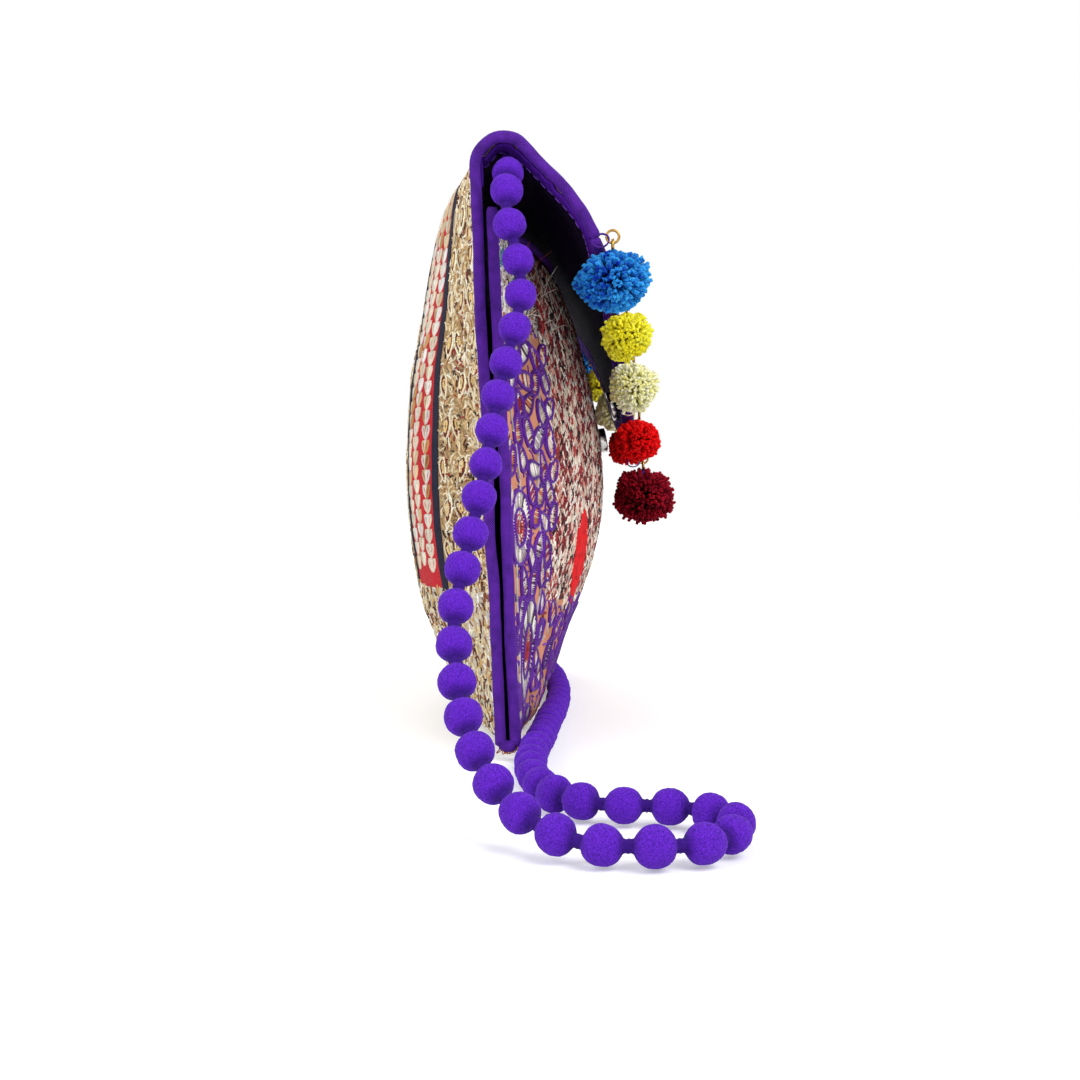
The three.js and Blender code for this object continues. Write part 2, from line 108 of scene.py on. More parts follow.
class Finish:
    """A new material, with short calls to add and join its nodes."""

    def __init__(self, name, **sockets):
        self.material = bpy.data.materials.new(name)
        self.material.use_nodes = True
        self.nodes = self.material.node_tree.nodes
        self.shader = self.nodes["Principled BSDF"]
        self.set(self.shader, **sockets)

    def set(self, node, **sockets):
        for key, value in sockets.items():
            self.fill(node.inputs[key.replace("_", " ")], value)

    def fill(self, socket, value):
        socket.default_value = (*value, 1) if socket.type == "RGBA" and len(value) == 3 else value

    def add(self, kind, links=None, inputs=None, **settings):
        node = self.nodes.new("ShaderNode" + kind)
        for key, value in settings.items():
            setattr(node, key, value)
        for key, value in (inputs or {}).items():
            self.fill(node.inputs[key], value)
        for key, value in (links or {}).items():
            self.join(value, node.inputs[key])
        return node

    def join(self, source, socket):
        self.material.node_tree.links.new(source, socket)

    def ramp(self, source, low, high):
        """Two colours between two places of a value, each given as its place and its colour."""
        node = self.add("ValToRGB", {"Fac": source})
        for stop, (position, colour) in zip(node.color_ramp.elements, (low, high)):
            stop.position, stop.color = position, (*colour, 1)
        return node.outputs[0]

    def colour(self, source):
        self.join(source, self.shader.inputs["Base Color"])

    def bump(self, height, strength, distance):
        node = self.add("Bump", {"Height": height}, {"Strength": strength, "Distance": distance})
        self.join(node.outputs["Normal"], self.shader.inputs["Normal"])


# %% Floor, world and lamps
bpy.ops.object.select_all(action="DESELECT")
bpy.ops.mesh.primitive_plane_add(size=12, location=(0, 0, -0.0004))
floor = bpy.context.object
floor.name = "floor"
floor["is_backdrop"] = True
pale = Finish("pale_floor", Base_Color=(0.86, 0.86, 0.87), Roughness=0.9)
path = pale.add("LightPath")
camera_or_gloss = {0: path.outputs["Is Camera Ray"], 1: path.outputs["Is Glossy Ray"]}
seen = pale.add("Math", camera_or_gloss, operation="MAXIMUM")
away = pale.add("VectorMath", {0: pale.add("TexCoord").outputs["Object"]}, operation="LENGTH")
glow = pale.add(
    "MapRange", {"Value": away.outputs["Value"]},
    {"From Min": 0.25, "From Max": 1.6, "To Min": 0.3, "To Max": 1.0},
)
lift = pale.add("Math", {0: seen.outputs[0], 1: glow.outputs[0]}, operation="MULTIPLY")
pale.set(pale.shader, Emission_Color=(1, 1, 1))
pale.join(lift.outputs[0], pale.shader.inputs["Emission Strength"])
floor.data.materials.append(pale.material)

world = bpy.data.worlds.new("studio")
world.use_nodes = True
bpy.context.scene.world = world
sky = world.node_tree.nodes["Background"]
rays = world.node_tree.nodes.new("ShaderNodeLightPath")
shown = world.node_tree.nodes.new("ShaderNodeMath")
shown.operation = "MAXIMUM"
level = world.node_tree.nodes.new("ShaderNodeMapRange")
level.inputs["To Min"].default_value = 0.5
level.inputs["To Max"].default_value = 1.0
sky.inputs["Color"].default_value = (1, 1, 1, 1)
join = world.node_tree.links.new
join(rays.outputs["Is Camera Ray"], shown.inputs[0])
join(rays.outputs["Is Glossy Ray"], shown.inputs[1])
join(shown.outputs[0], level.inputs["Value"])
join(level.outputs["Result"], sky.inputs["Strength"])


def lamp(name, place, size, watts):
    data = bpy.data.lights.new(name, "AREA")
    data.size, data.energy = size, watts
    thing = bpy.data.objects.new(name, data)
    thing.location = place
    thing.rotation_euler = (Vector((0, 0, 0.1)) - Vector(place)).to_track_quat("-Z", "Y").to_euler()
    bpy.context.scene.collection.objects.link(thing)


lamp("key", (-1.0, -0.75, 1.15), 0.9, 17)
lamp("fill", (-1.0, 0.9, 0.75), 0.9, 7.5)
lamp("back", (0.9, 0.3, 1.2), 0.9, 7)
print("floor, world and three lamps")

# %% [markdown]
# ## The strap of felt balls
# The strap is one limp cord of felt balls on a thread. It is a free cord, so it follows the same points
# as its solid. Each ball is a turned shape with gathers where the felt is drawn in at its two necks, and
# between two balls the felt is wrapped with thread. A row of rings along the route makes all of it as one
# closed mesh, whose radius swells at each ball and narrows at each neck.

# %% The strap's route
strap_route = np.array([
    (-119, -4, 188.6), (-125, -4.2, 186.4), (-131.5, -4, 181), (-135.8, -4, 172.5), (-138, -6.5, 161),
    (-140.5, -8.5, 149.5), (-145, -7.3, 138), (-150, -4.4, 125), (-156, -1.6, 112), (-163, 0.2, 99.4),
    (-171, 2.4, 86.3), (-178, 4.8, 74.5), (-186, 7.2, 62.6), (-194, 8.6, 50.8), (-203, 7.8, 39.6),
    (-213, 5.4, 28.9), (-225, 0.8, 19.4), (-236, -6, 12), (-245, -14.5, 7.4), (-251, -24, 5.3),
    (-254, -34, 5.2), (-254, -44, 5.2), (-249, -55, 5.2), (-234, -61.5, 5.2), (-219, -55, 5.2),
    (-214, -44, 5.2), (-212, -31, 5.2), (-203, -20, 5.2), (-184, -13.5, 5.2), (-158, -11.5, 5.2),
    (-132, -12.8, 5.2), (-107, -15.2, 5.2), (-72, -18, 5.2), (-38, -20.9, 5.2), (0, -22.1, 5.2),
    (38, -20.9, 5.2), (72, -18, 5.2), (104, -15.6, 5.2), (124, -15.6, 8), (136, -14.5, 18),
    (141, -12, 34), (141.5, -10, 58), (140.5, -9, 86), (139.5, -8.5, 114), (138.8, -8, 142),
    (137.5, -6.5, 162), (135.8, -4.4, 173.5), (131.5, -4, 181.5), (125, -4.2, 186.4), (119, -4, 188.6),
])


points_per_span = 60


def smooth_line(points, per_span=points_per_span):
    """A Catmull-Rom line through points, as a dense row of points."""
    p = np.asarray(points, float)
    rows = []
    for i in range(len(p) - 1):
        a, b, c, d = p[max(i - 1, 0)], p[i], p[i + 1], p[min(i + 2, len(p) - 1)]
        t = np.linspace(0, 1, per_span, endpoint=False)[:, None]
        m0, m1 = (c - a) / 2, (d - b) / 2
        rows.append((2 * b - 2 * c + m0 + m1) * t**3 + (3 * c - 3 * b - 2 * m0 - m1) * t**2 + m0 * t + b)
    rows.append(p[-1:])
    return np.vstack(rows)


def run_of(line):
    """Length along a line up to each of its points."""
    return np.r_[0, np.cumsum(np.linalg.norm(np.diff(line, axis=0), axis=1))]


def at_length(line, s):
    run = run_of(line)
    return np.stack([np.interp(s, run, line[:, k]) for k in range(line.shape[1])], axis=-1)


def frames_along(line):
    """Tangent and two crosswise directions at each point of a line, carried along without twist."""
    tangent = np.gradient(line, axis=0)
    tangent /= np.linalg.norm(tangent, axis=1, keepdims=True)
    side = np.zeros_like(line)
    last = np.cross(tangent[0], (0.1, 0.2, 1.0))
    for i, t in enumerate(tangent):
        last = last - t * last.dot(t)
        last /= np.linalg.norm(last)
        side[i] = last
    return tangent, side, np.cross(tangent, side)


strap_line = smooth_line(strap_route, 20)
strap_length = run_of(strap_line)[-1]
print("strap", round(strap_length, 1), "mm")

# %% A mesh object from arrays
def mesh_object(name, verts_mm, faces, body="bag", replaces=(), smooth=True):
    """A new piece from points in millimetres, closed faces and the body that it rides on."""
    mesh = bpy.data.meshes.new(name)
    mesh.from_pydata((np.asarray(verts_mm) * MM).tolist(), [], faces)
    mesh.polygons.foreach_set("use_smooth", np.full(len(mesh.polygons), smooth))
    mesh.update()
    piece = bpy.data.objects.new(name, mesh)
    bpy.context.scene.collection.objects.link(piece)
    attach(piece, body)
    if replaces:
        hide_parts(*replaces)
    return piece


def ring_faces(rings, sides, start=0):
    """Quads between rings of points, and a fan of one face at both ends."""
    base = start + np.arange(rings)[:, None] * sides + np.arange(sides)[None]
    nxt = np.roll(base, -1, axis=1)
    quads = np.stack([base[:-1], nxt[:-1], nxt[1:], base[1:]], axis=-1).reshape(-1, 4).tolist()
    return quads + [base[0][::-1].tolist(), base[-1].tolist()]


def rings_along(centre, across, over, angle, radius):
    """A ring of points round each point of a line, at one radius or at one for each point."""
    way = np.cos(angle)[None, :, None] * across[:, None] + np.sin(angle)[None, :, None] * over[:, None]
    return centre[:, None] + np.asarray(radius)[..., None] * way


def corners_of(piece):
    """Number of the point at each corner of a piece's faces."""
    corner = np.zeros(len(piece.data.loops), int)
    piece.data.loops.foreach_get("vertex_index", corner)
    return corner


def paint(piece, name, colours):
    """A colour on every point of a piece."""
    layer = piece.data.color_attributes.new(name, "FLOAT_COLOR", "POINT")
    rgba = np.c_[np.asarray(colours, float), np.ones(len(colours))]
    layer.data.foreach_set("color", rgba.astype(np.float32).ravel())


# %% Balls and necks as one mesh
ball_count = 75
ball_pitch = strap_length / ball_count
ball_radius = 4.9
ball_half_length = 4.85
neck_radius = 1.6
rings_per_ball = 20
sides = 26
floor_gap = 0.1
phase = (np.arange(ball_count * rings_per_ball + 1)) / rings_per_ball  # ball number and place in it
s = np.clip(phase * ball_pitch, 0, strap_length)
centre = at_length(strap_line, s)
_, across, over = frames_along(centre)
place = np.mod(phase, 1.0)
reach = np.clip((place - 0.5) * ball_pitch / ball_half_length, -1, 1)
round_part = np.sqrt(np.clip(1 - np.abs(reach) ** 2.3, 0, 1))
which = np.minimum(phase.astype(int), ball_count - 1)
size_of = 1 + rng.normal(0, 0.025, ball_count)
bias = rng.normal(0, 0.05, ball_count)
profile = ball_radius * size_of[which] * round_part * (1 + bias[which] * reach)
profile = np.maximum(profile, neck_radius * (1 + 0.05 * np.cos(phase * math.pi * rings_per_ball)))
angle = np.linspace(0, 2 * math.pi, sides, endpoint=False)
turn = rng.uniform(0, 6.28, ball_count)[which][:, None]
gather = np.abs(reach)[:, None] ** 6 * 0.085 * np.cos(9 * angle[None] + turn)
lump = 0.022 * np.sin(2 * angle[None] + turn)
lump = lump + 0.014 * np.sin(3 * angle[None] - 2 * turn + 3 * reach[:, None])
radius = profile[:, None] * (1 + gather + lump) + rng.normal(0, 0.035, (len(s), sides))
points = rings_along(centre, across, over, angle, radius)
points[..., 2] = np.maximum(points[..., 2], floor_gap)
strap = mesh_object(
    "felt_ball_strap", points.reshape(-1, 3), ring_faces(len(s), sides), replaces=["ball_strap"]
)
# painted shade: a weight that is high at the necks, where shade falls between the balls
neck_shade = np.repeat(np.clip((0.8 - round_part) / 0.5, 0, 1), sides)
paint(strap, "neck_shade", np.c_[neck_shade, np.repeat(rng.uniform(0, 1, ball_count)[which], sides), neck_shade * 0])
print("strap balls", ball_count, "pitch", round(ball_pitch, 2))

# %% [markdown]
# The felt is a saturated violet with a fine mat of fibres. Long, stretched noise in several directions
# gives the fibres, a coarser noise gives lighter and darker wool, and the necks are painted darker, as
# the shade that falls between the balls. A soft sheen stands for the fuzz.

# %% Felt
felt = Finish(
    "violet_felt", Roughness=0.9, Specular_IOR_Level=0.2, Sheen_Weight=0.15, Sheen_Roughness=0.45,
    Sheen_Tint=srgb(190, 140, 255),
)
spot = felt.add("TexCoord").outputs["Object"]
fibres = []
for turn_xyz in ((0.4, 0.3, 0.0), (1.3, 0.2, 0.7), (0.2, 1.2, 1.9)):
    slant = felt.add("Mapping", {"Vector": spot}, {"Rotation": turn_xyz, "Scale": (520, 2600, 2600)})
    hair = felt.add("TexNoise", {"Vector": slant.outputs[0]}, {"Scale": 1.0, "Detail": 2.0, "Roughness": 0.6})
    fibres.append(hair.outputs["Fac"])
first = felt.add("Math", {0: fibres[0], 1: fibres[1]}, operation="MAXIMUM")
mat_of_fibres = felt.add("Math", {0: first.outputs[0], 1: fibres[2]}, operation="MAXIMUM")
shade = felt.ramp(mat_of_fibres.outputs[0], (0.42, srgb(52, 8, 132)), (0.72, srgb(112, 40, 214)))
neck_shade_marks = felt.add("Attribute", attribute_name="neck_shade")
apart = felt.add("SeparateColor", {"Color": neck_shade_marks.outputs["Color"]})
# painted shade: the necks are mixed toward dark violet, as shade between the balls
painted_neck_shade = felt.add("MixRGB", {"Color1": shade}, {"Color2": srgb(34, 6, 92)})
neck_shade_weight = felt.add("Math", {0: apart.outputs[0]}, {1: 0.75}, operation="MULTIPLY")
felt.join(neck_shade_weight.outputs[0], painted_neck_shade.inputs["Fac"])
felt.colour(painted_neck_shade.outputs[0])
felt.bump(mat_of_fibres.outputs[0], 0.7, 0.0005)
strap.data.materials.append(felt.material)
print("felt with", len(fibres), "layers of fibres")

# %% [markdown]
# ## The cloth
# Two cloths make the bag: the front panel, and the back panel, which goes on over the fold as the flap.
# A stuffed bag is a lofted shell, so each cloth is a fine grid of sections, blended from the one at
# mid-width to the one at the side seam as in the part itself, with small puckers along the seams.

# %% Sections
# The part's own sizes in millimetres: the bag, its two ends, its flap, and cloth, cord and gap
bag_width, bag_height, mouth_height, mouth_front, shoulder_height = 255, 200, 172, 19, 190
front_bulge, back_bulge, base_front, base_back, bottom_seam = 39, 40, 13, 14, 4
end_shoulder, end_fold, end_fold_front, end_half = 183, 198.5, 4, 3.2
end_lift, end_lean, flat_share = 3.6, 8.5, 0.45
flap_side, flap_length, corner_front, corner_height, tip_front, tip_height = 44, 122, 33, 166.5, 52.5, 102
flap_sag, flap_run_out, corner_swell = 1, (10, 60), 4
cloth, cord_d, gap = 1.6, 3.4, 0.3
cloth_end = bag_width / 2 - cord_d - gap
cord_x = bag_width / 2 - cord_d / 2


def seam_line(height):
    return end_lean * (height / bag_height - 0.5)


front_middle = smooth_line([
    (-mouth_front, mouth_height), (-0.75 * front_bulge, 0.86 * mouth_height),
    (-0.93 * front_bulge, 0.7 * mouth_height), (-front_bulge, 0.52 * mouth_height),
    (-0.91 * front_bulge, 0.35 * mouth_height), (-0.6 * front_bulge, 0.165 * mouth_height), (-base_front, 0),
])
front_end = smooth_line([
    (seam_line(mouth_height) - end_half, mouth_height),
    (seam_line(end_lift) - end_half, end_lift + end_half / 2),
])
flap_fall = [
    (-corner_front, corner_height),
    (-0.5 * (corner_front + tip_front) - flap_sag, 0.55 * corner_height + 0.45 * tip_height),
    (-tip_front, tip_height), (-tip_front - flap_run_out[0], tip_height - flap_run_out[1]),
]
back_middle = smooth_line([
    (base_back, 0), (0.675 * back_bulge, 0.15 * shoulder_height), (0.87 * back_bulge, 0.26 * shoulder_height),
    (back_bulge, 0.47 * shoulder_height), (0.95 * back_bulge, 0.66 * shoulder_height),
    (0.825 * back_bulge, 0.8 * shoulder_height), (0.62 * back_bulge, shoulder_height),
    (0.42 * back_bulge, 0.25 * shoulder_height + 0.75 * bag_height), (0.12 * back_bulge, bag_height),
    (-0.4 * corner_front, 0.7 * bag_height + 0.15 * (corner_height + bag_height)), *flap_fall,
])
back_end = smooth_line([
    (seam_line(end_lift) + end_half, end_lift + end_half / 2),
    (seam_line(0.5 * end_shoulder) + end_half, 0.5 * end_shoulder),
    (seam_line(end_shoulder) + end_half, end_shoulder),
    (0.55 * (seam_line(end_shoulder) + end_half), 0.3 * end_shoulder + 0.7 * end_fold),
    (-end_fold_front, end_fold),
    (-0.5 * (end_fold_front + corner_front), 0.5 * (end_fold + corner_height) + corner_swell),
    *flap_fall,
])
# The shoulder is the seventh point at mid-width and the third at the end, and the fold is two points on
shoulders = [run_of(back_middle)[6 * points_per_span], run_of(back_end)[2 * points_per_span]]
folds = [run_of(back_middle)[8 * points_per_span], run_of(back_end)[4 * points_per_span]]
print("flap from fold at", [round(v, 1) for v in folds], "mm of cloth")

# %% Blending the sections
columns, wall_rows, under_rows, fold_rows, flap_rows = 141, 78, 9, 15, 57
u = np.linspace(-1, 1, columns)
bulge = ((1 - u**2) ** 1.5)[:, None]
edge_share = np.clip((np.abs(u) - flat_share) / (1 - flat_share), 0, 1)
settle = (1 - edge_share**2 * (3 - 2 * edge_share))[:, None]


def blend_sections(end, middle):
    """Columns across the bag between two rows of section points."""
    end, middle = np.broadcast_arrays(end, middle)
    y = end[..., 0] + (middle[..., 0] - end[..., 0]) * bulge
    z = end[..., 1] + (middle[..., 1] - end[..., 1]) * settle
    return np.stack([np.broadcast_to((u * cloth_end)[:, None], y.shape), y, z], axis=-1)


wall = np.linspace(0, 1, wall_rows)
under = np.linspace(0, 1, under_rows)
half_gap = np.array([0, gap / 2, 0])
front_wall = blend_sections(
    at_length(front_end, wall * run_of(front_end)[-1]),
    at_length(front_middle, wall * run_of(front_middle)[-1]),
)
seam = blend_sections(np.array([(seam_line(end_lift), end_lift)]), np.array([(bottom_seam, 0.0)]))
front_base = front_wall[:, -1:] + (seam - half_gap - front_wall[:, -1:]) * under[None, 1:, None]
front_grid = np.concatenate([front_wall, front_base], axis=1)

back_wall = blend_sections(
    at_length(back_end, wall * shoulders[1]), at_length(back_middle, wall * shoulders[0])
)
over_fold = np.linspace(0, 1, fold_rows)[1:]
fold_part = blend_sections(
    at_length(back_end, shoulders[1] + (folds[1] - shoulders[1]) * over_fold),
    at_length(back_middle, shoulders[0] + (folds[0] - shoulders[0]) * over_fold),
)
flap_lengths = flap_side + (flap_length - flap_side) * (1 - np.abs(u))
flap_share = np.linspace(0, 1, flap_rows)[1:]
down = flap_lengths[:, None] * flap_share[None]
flap_part = blend_sections(at_length(back_end, folds[1] + down), at_length(back_middle, folds[0] + down))
back_base = (seam + half_gap) + (back_wall[:, :1] - seam - half_gap) * under[None, :-1, None]
back_grid = np.concatenate([back_base, back_wall, fold_part, flap_part], axis=1)
front_corner_row, back_corner_row = wall_rows - 1, under_rows - 1
shoulder_row = back_corner_row + wall_rows - 1
fold_row = shoulder_row + fold_rows - 1
print("front", front_grid.shape[:2], "back", back_grid.shape[:2], "points")


# %% Puckers, thickness and a place for every stitch
def normals_of(grid, outward):
    n = np.cross(np.gradient(grid, axis=0), np.gradient(grid, axis=1))
    n /= np.linalg.norm(n, axis=-1, keepdims=True)
    return n * outward


def ease_corner(grid, row, reach=5, turns=14):
    """Rounds the corner of the sections at one row, as stuffed cloth does."""
    grid = grid.copy()
    lo, hi = max(row - reach, 1), min(row + reach, grid.shape[1] - 1)
    for _ in range(turns):
        grid[:, lo:hi] = 0.5 * grid[:, lo:hi] + 0.25 * (grid[:, lo - 1:hi - 1] + grid[:, lo + 1:hi + 1])
    return grid


class Ground:
    """A cloth's outer face, where a stitch at x across and b along has a place and a direction out."""

    def __init__(self, grid, outward, seed, flap=False):
        self.flap, self.work = flap, []
        step = np.linalg.norm(np.diff(grid, axis=1), axis=-1)
        self.run = np.r_[0, np.cumsum(step[columns // 4: 3 * columns // 4].mean(axis=0))]
        if flap:
            self.run = np.r_[self.run[: fold_row + 1], self.run[fold_row] + flap_length * flap_share]
            self.fold = self.run[fold_row]
        n = normals_of(grid, outward)
        x, b = grid[..., 0], np.broadcast_to(self.run, grid.shape[:2])
        from_edge = cloth_end - np.abs(x)
        crease = 0.30 * np.sin(x / 8.5 + 1.3 * np.sin(b / 19 + seed)) * np.sin(b / 12.5 + seed)
        crease += 0.16 * np.sin(x / 3.1 + b / 5.3 + seed) * np.sin(b / 4.1 - x / 7.7)
        inside = 1 - np.exp(-((from_edge / 16) ** 2))
        crease += 0.75 * np.sin(x / 19 + seed) * np.sin(b / 27 + 2 * seed) * inside
        pucker = 0.26 * np.exp(-((from_edge / 7) ** 2)) * np.sin(b / 2.3 + 2 * np.sin(b / 15 + seed))
        fade = np.clip(grid[..., 2] / 6, 0, 1)
        self.out = grid + n * ((crease + pucker) * fade)[..., None]
        self.normal = normals_of(self.out, outward)

    def rows_of(self, x, b):
        if not self.flap:
            return np.interp(b, self.run, np.arange(len(self.run)))
        here = flap_side + (flap_length - flap_side) * (1 - np.abs(x) / cloth_end)
        last = len(self.run) - 1 - fold_row
        on_flap = fold_row + (b - self.fold) / here * last
        return np.where(b > self.fold, on_flap, np.interp(b, self.run, np.arange(len(self.run))))

    def covers(self, x, b, margin):
        end = self.run[-1]
        if self.flap:
            end = self.fold + flap_side + (flap_length - flap_side) * (1 - np.abs(x) / cloth_end)
        return (np.abs(x) < cloth_end - margin) & (b > margin) & (b < end - margin * 1.25)

    def at(self, x, b):
        fi = np.clip((x / cloth_end + 1) / 2 * (columns - 1), 0, columns - 1.001)
        fj = np.clip(self.rows_of(x, b), 0, len(self.run) - 1.001)
        i, j = fi.astype(int), fj.astype(int)
        wi, wj = (fi - i)[..., None], (fj - j)[..., None]

        def pick(a):
            low = a[i, j] * (1 - wi) + a[i + 1, j] * wi
            return low * (1 - wj) + (a[i, j + 1] * (1 - wi) + a[i + 1, j + 1] * wi) * wj

        return pick(self.out), pick(self.normal)

    def along_at(self, x, z):
        """Length along the cloth at which its wall is at a height."""
        nearest = int(round((x / cloth_end + 1) / 2 * (columns - 1)))
        column = self.out[nearest, : (fold_row if self.flap else None), 2]
        order = np.argsort(column)
        return float(np.interp(z, column[order], self.run[: len(column)][order]))


front = Ground(ease_corner(front_grid, front_corner_row), 1, 0.7)
back = Ground(ease_corner(back_grid, back_corner_row), 1, 2.1, flap=True)
half_way = columns // 2, wall_rows // 2, 1
if front.normal[half_way] > 0:
    front.normal *= -1
if back.normal[half_way] < 0:
    back.normal *= -1
print("front cloth", round(front.run[-1]), "mm long, back and flap", round(back.run[-1]), "mm long")


# %% Cloth shells
def shell(name, outer, inner, uv, replaces):
    """A closed sheet between two grids, with a UV map in metres."""
    wide, long = outer.shape[:2]
    top = np.arange(wide * long).reshape(wide, long)
    low = top + wide * long
    upper = np.stack([top[:-1, :-1], top[:-1, 1:], top[1:, 1:], top[1:, :-1]], axis=-1)
    lower = np.stack([low[:-1, :-1], low[1:, :-1], low[1:, 1:], low[:-1, 1:]], axis=-1)
    faces = np.concatenate([upper.reshape(-1, 4), lower.reshape(-1, 4)]).tolist()
    rim = np.r_[top[:, 0], top[-1, 1:], top[-2::-1, -1], top[0, -2::-1]]
    under_rim = rim + wide * long
    faces += np.stack([rim[:-1], rim[1:], under_rim[1:], under_rim[:-1]], axis=-1).tolist()
    verts = np.concatenate([outer.reshape(-1, 3), inner.reshape(-1, 3)])
    piece = mesh_object(name, verts, faces, replaces=replaces)
    bm = bmesh.new()
    bm.from_mesh(piece.data)
    bmesh.ops.recalc_face_normals(bm, faces=bm.faces)
    bm.to_mesh(piece.data)
    bm.free()
    layer = piece.data.uv_layers.new(name="cloth")
    flat = np.concatenate([uv.reshape(-1, 2)] * 2)[corners_of(piece)] * MM
    layer.data.foreach_set("uv", flat.astype(np.float32).ravel())
    return piece


def cloth_uv(ground):
    along = np.broadcast_to(ground.run, ground.out.shape[:2]).copy()
    if ground.flap:
        along[:, fold_row:] = ground.fold + np.concatenate([np.zeros((columns, 1)), down], axis=1)
    return np.stack([ground.out[..., 0], along], axis=-1)


def outer_cloth(name, ground, node):
    return shell(name, ground.out, ground.out - ground.normal * cloth, cloth_uv(ground), [node])


front_cloth = outer_cloth("front_cloth", front, "front_panel")
back_cloth = outer_cloth("back_and_flap_cloth", back, "back_panel_with_flap")
print("faces", len(front_cloth.data.polygons), len(back_cloth.data.polygons))

# %% [markdown]
# The patchwork lies in strips that run up the back, over the fold and down the flap. On the back, from
# the side seam: a band of metal-thread work, a dark ribbon, a red band and the metal-thread work again.
# The front has a peach field near the seam and along the foot, with a maroon ground between. The strips
# are coloured by the cloth's own UV map, which is in metres, and the weave is two crossed rows of bands.

# %% Cloth finish
def cloth_finish(name, bands, foot_colour, foot, foot_below):
    """Bands by distance from the side edge, another ground near the foot, and a plain weave."""
    f = Finish(name, Roughness=0.85, Specular_IOR_Level=0.2, Sheen_Weight=0.05)
    flat = f.add("UVMap", uv_map="cloth").outputs["UV"]
    part = f.add("SeparateXYZ", {"Vector": flat})
    noise = f.add("TexNoise", {"Vector": flat}, {"Scale": 260.0, "Detail": 3.0})
    shake = f.add("MapRange", {"Value": noise.outputs["Fac"]}, {"To Min": -0.0009, "To Max": 0.0009})
    side = f.add("Math", {0: part.outputs["X"]}, operation="ABSOLUTE")
    from_edge = f.add("Math", {1: side.outputs[0]}, {0: cloth_end * MM}, operation="SUBTRACT")
    rough_edge = f.add("Math", {0: from_edge.outputs[0], 1: shake.outputs[0]}, operation="ADD")
    share = f.add("Math", {0: rough_edge.outputs[0]}, {1: cloth_end * MM}, operation="DIVIDE")
    ramp = f.add("ValToRGB", {"Fac": share.outputs[0]})
    ramp.color_ramp.interpolation = "CONSTANT"
    stops = ramp.color_ramp.elements
    while len(stops) < len(bands):
        stops.new(0.5)
    for stop, (start, colour) in zip(stops, bands):
        stop.position, stop.color = start / cloth_end, (*colour, 1)
    along = f.add("Math", {0: part.outputs["Y"], 1: shake.outputs[0]}, operation="ADD")
    compare = "LESS_THAN" if foot_below else "GREATER_THAN"
    at_foot = f.add("Math", {0: along.outputs[0]}, {1: foot * MM}, operation=compare)
    past_seam = f.add("Math", {0: rough_edge.outputs[0]}, {1: seam_edge * MM}, operation="GREATER_THAN")
    foot_share = f.add("Math", {0: at_foot.outputs[0], 1: past_seam.outputs[0]}, operation="MULTIPLY")
    grounds = {"Fac": foot_share.outputs[0], "Color1": ramp.outputs[0]}
    ground = f.add("MixRGB", grounds, {"Color2": foot_colour})
    row = {"Scale": 520.0, "Distortion": 0.6}
    thread = [
        f.add("TexWave", {"Vector": flat}, row, bands_direction=way).outputs["Fac"] for way in ("X", "Y")
    ]
    weave = f.add("Math", {0: thread[0], 1: thread[1]}, operation="MULTIPLY")
    worn = f.add("TexNoise", {"Vector": flat}, {"Scale": 70.0, "Detail": 4.0})
    wear = {"From Min": 0.3, "From Max": 0.7, "To Min": 0.72, "To Max": 1.0}
    dim = f.add("MapRange", {"Value": worn.outputs["Fac"]}, wear)
    ply = f.add("MapRange", {"Value": weave.outputs[0]}, {"To Min": 0.8, "To Max": 1.0})
    both = f.add("Math", {0: dim.outputs[0], 1: ply.outputs[0]}, operation="MULTIPLY")
    tones = {"Color1": ground.outputs[0], "Color2": both.outputs[0]}
    toned = f.add("MixRGB", tones, {"Fac": 1.0}, blend_type="MULTIPLY")
    f.colour(toned.outputs[0])
    f.bump(weave.outputs[0], 0.5, 0.0004)
    return f.material


gold, navy, red, peach = srgb(190, 158, 112), srgb(14, 12, 42), srgb(226, 12, 34), srgb(244, 164, 124)
maroon_ground, pale_ground, plum = srgb(126, 50, 52), srgb(236, 226, 208), srgb(58, 14, 118)
seam_edge = 1.3  # the seam's violet edge shows this far in from the side
foot_line = 62  # the back's pale foot goes this far along its cloth
front_foot_height = 47
back_bands = [(0, plum), (seam_edge, gold), (48, navy), (54, red), (94, navy), (99, gold)]
front_bands = [(0, plum), (seam_edge, peach), (40, maroon_ground), (100, peach)]
front_foot = front.along_at(0, front_foot_height)
back_cloth.data.materials.append(cloth_finish("back_patchwork", back_bands, pale_ground, foot_line, True))
front_cloth.data.materials.append(cloth_finish("front_patchwork", front_bands, peach, front_foot, False))
print("patchwork colours on both cloths")

# %% [markdown]
# ## Stitches
# What makes this cloth is its thread: metal-thread curls, chain-stitch leaves, braided rows and leaves
# with a corded outline. Each stitch is real, a short closed ridge of three sides that lies on the cloth.
# All the stitches of one kind are one mesh, with the thread's colour on its points.

# %% Laying thread on the cloth
lowest_stitch = 2.2  # nothing is stitched lower on the bag than this
buried = 0.12  # a stitch's two lower edges lie this deep in the cloth


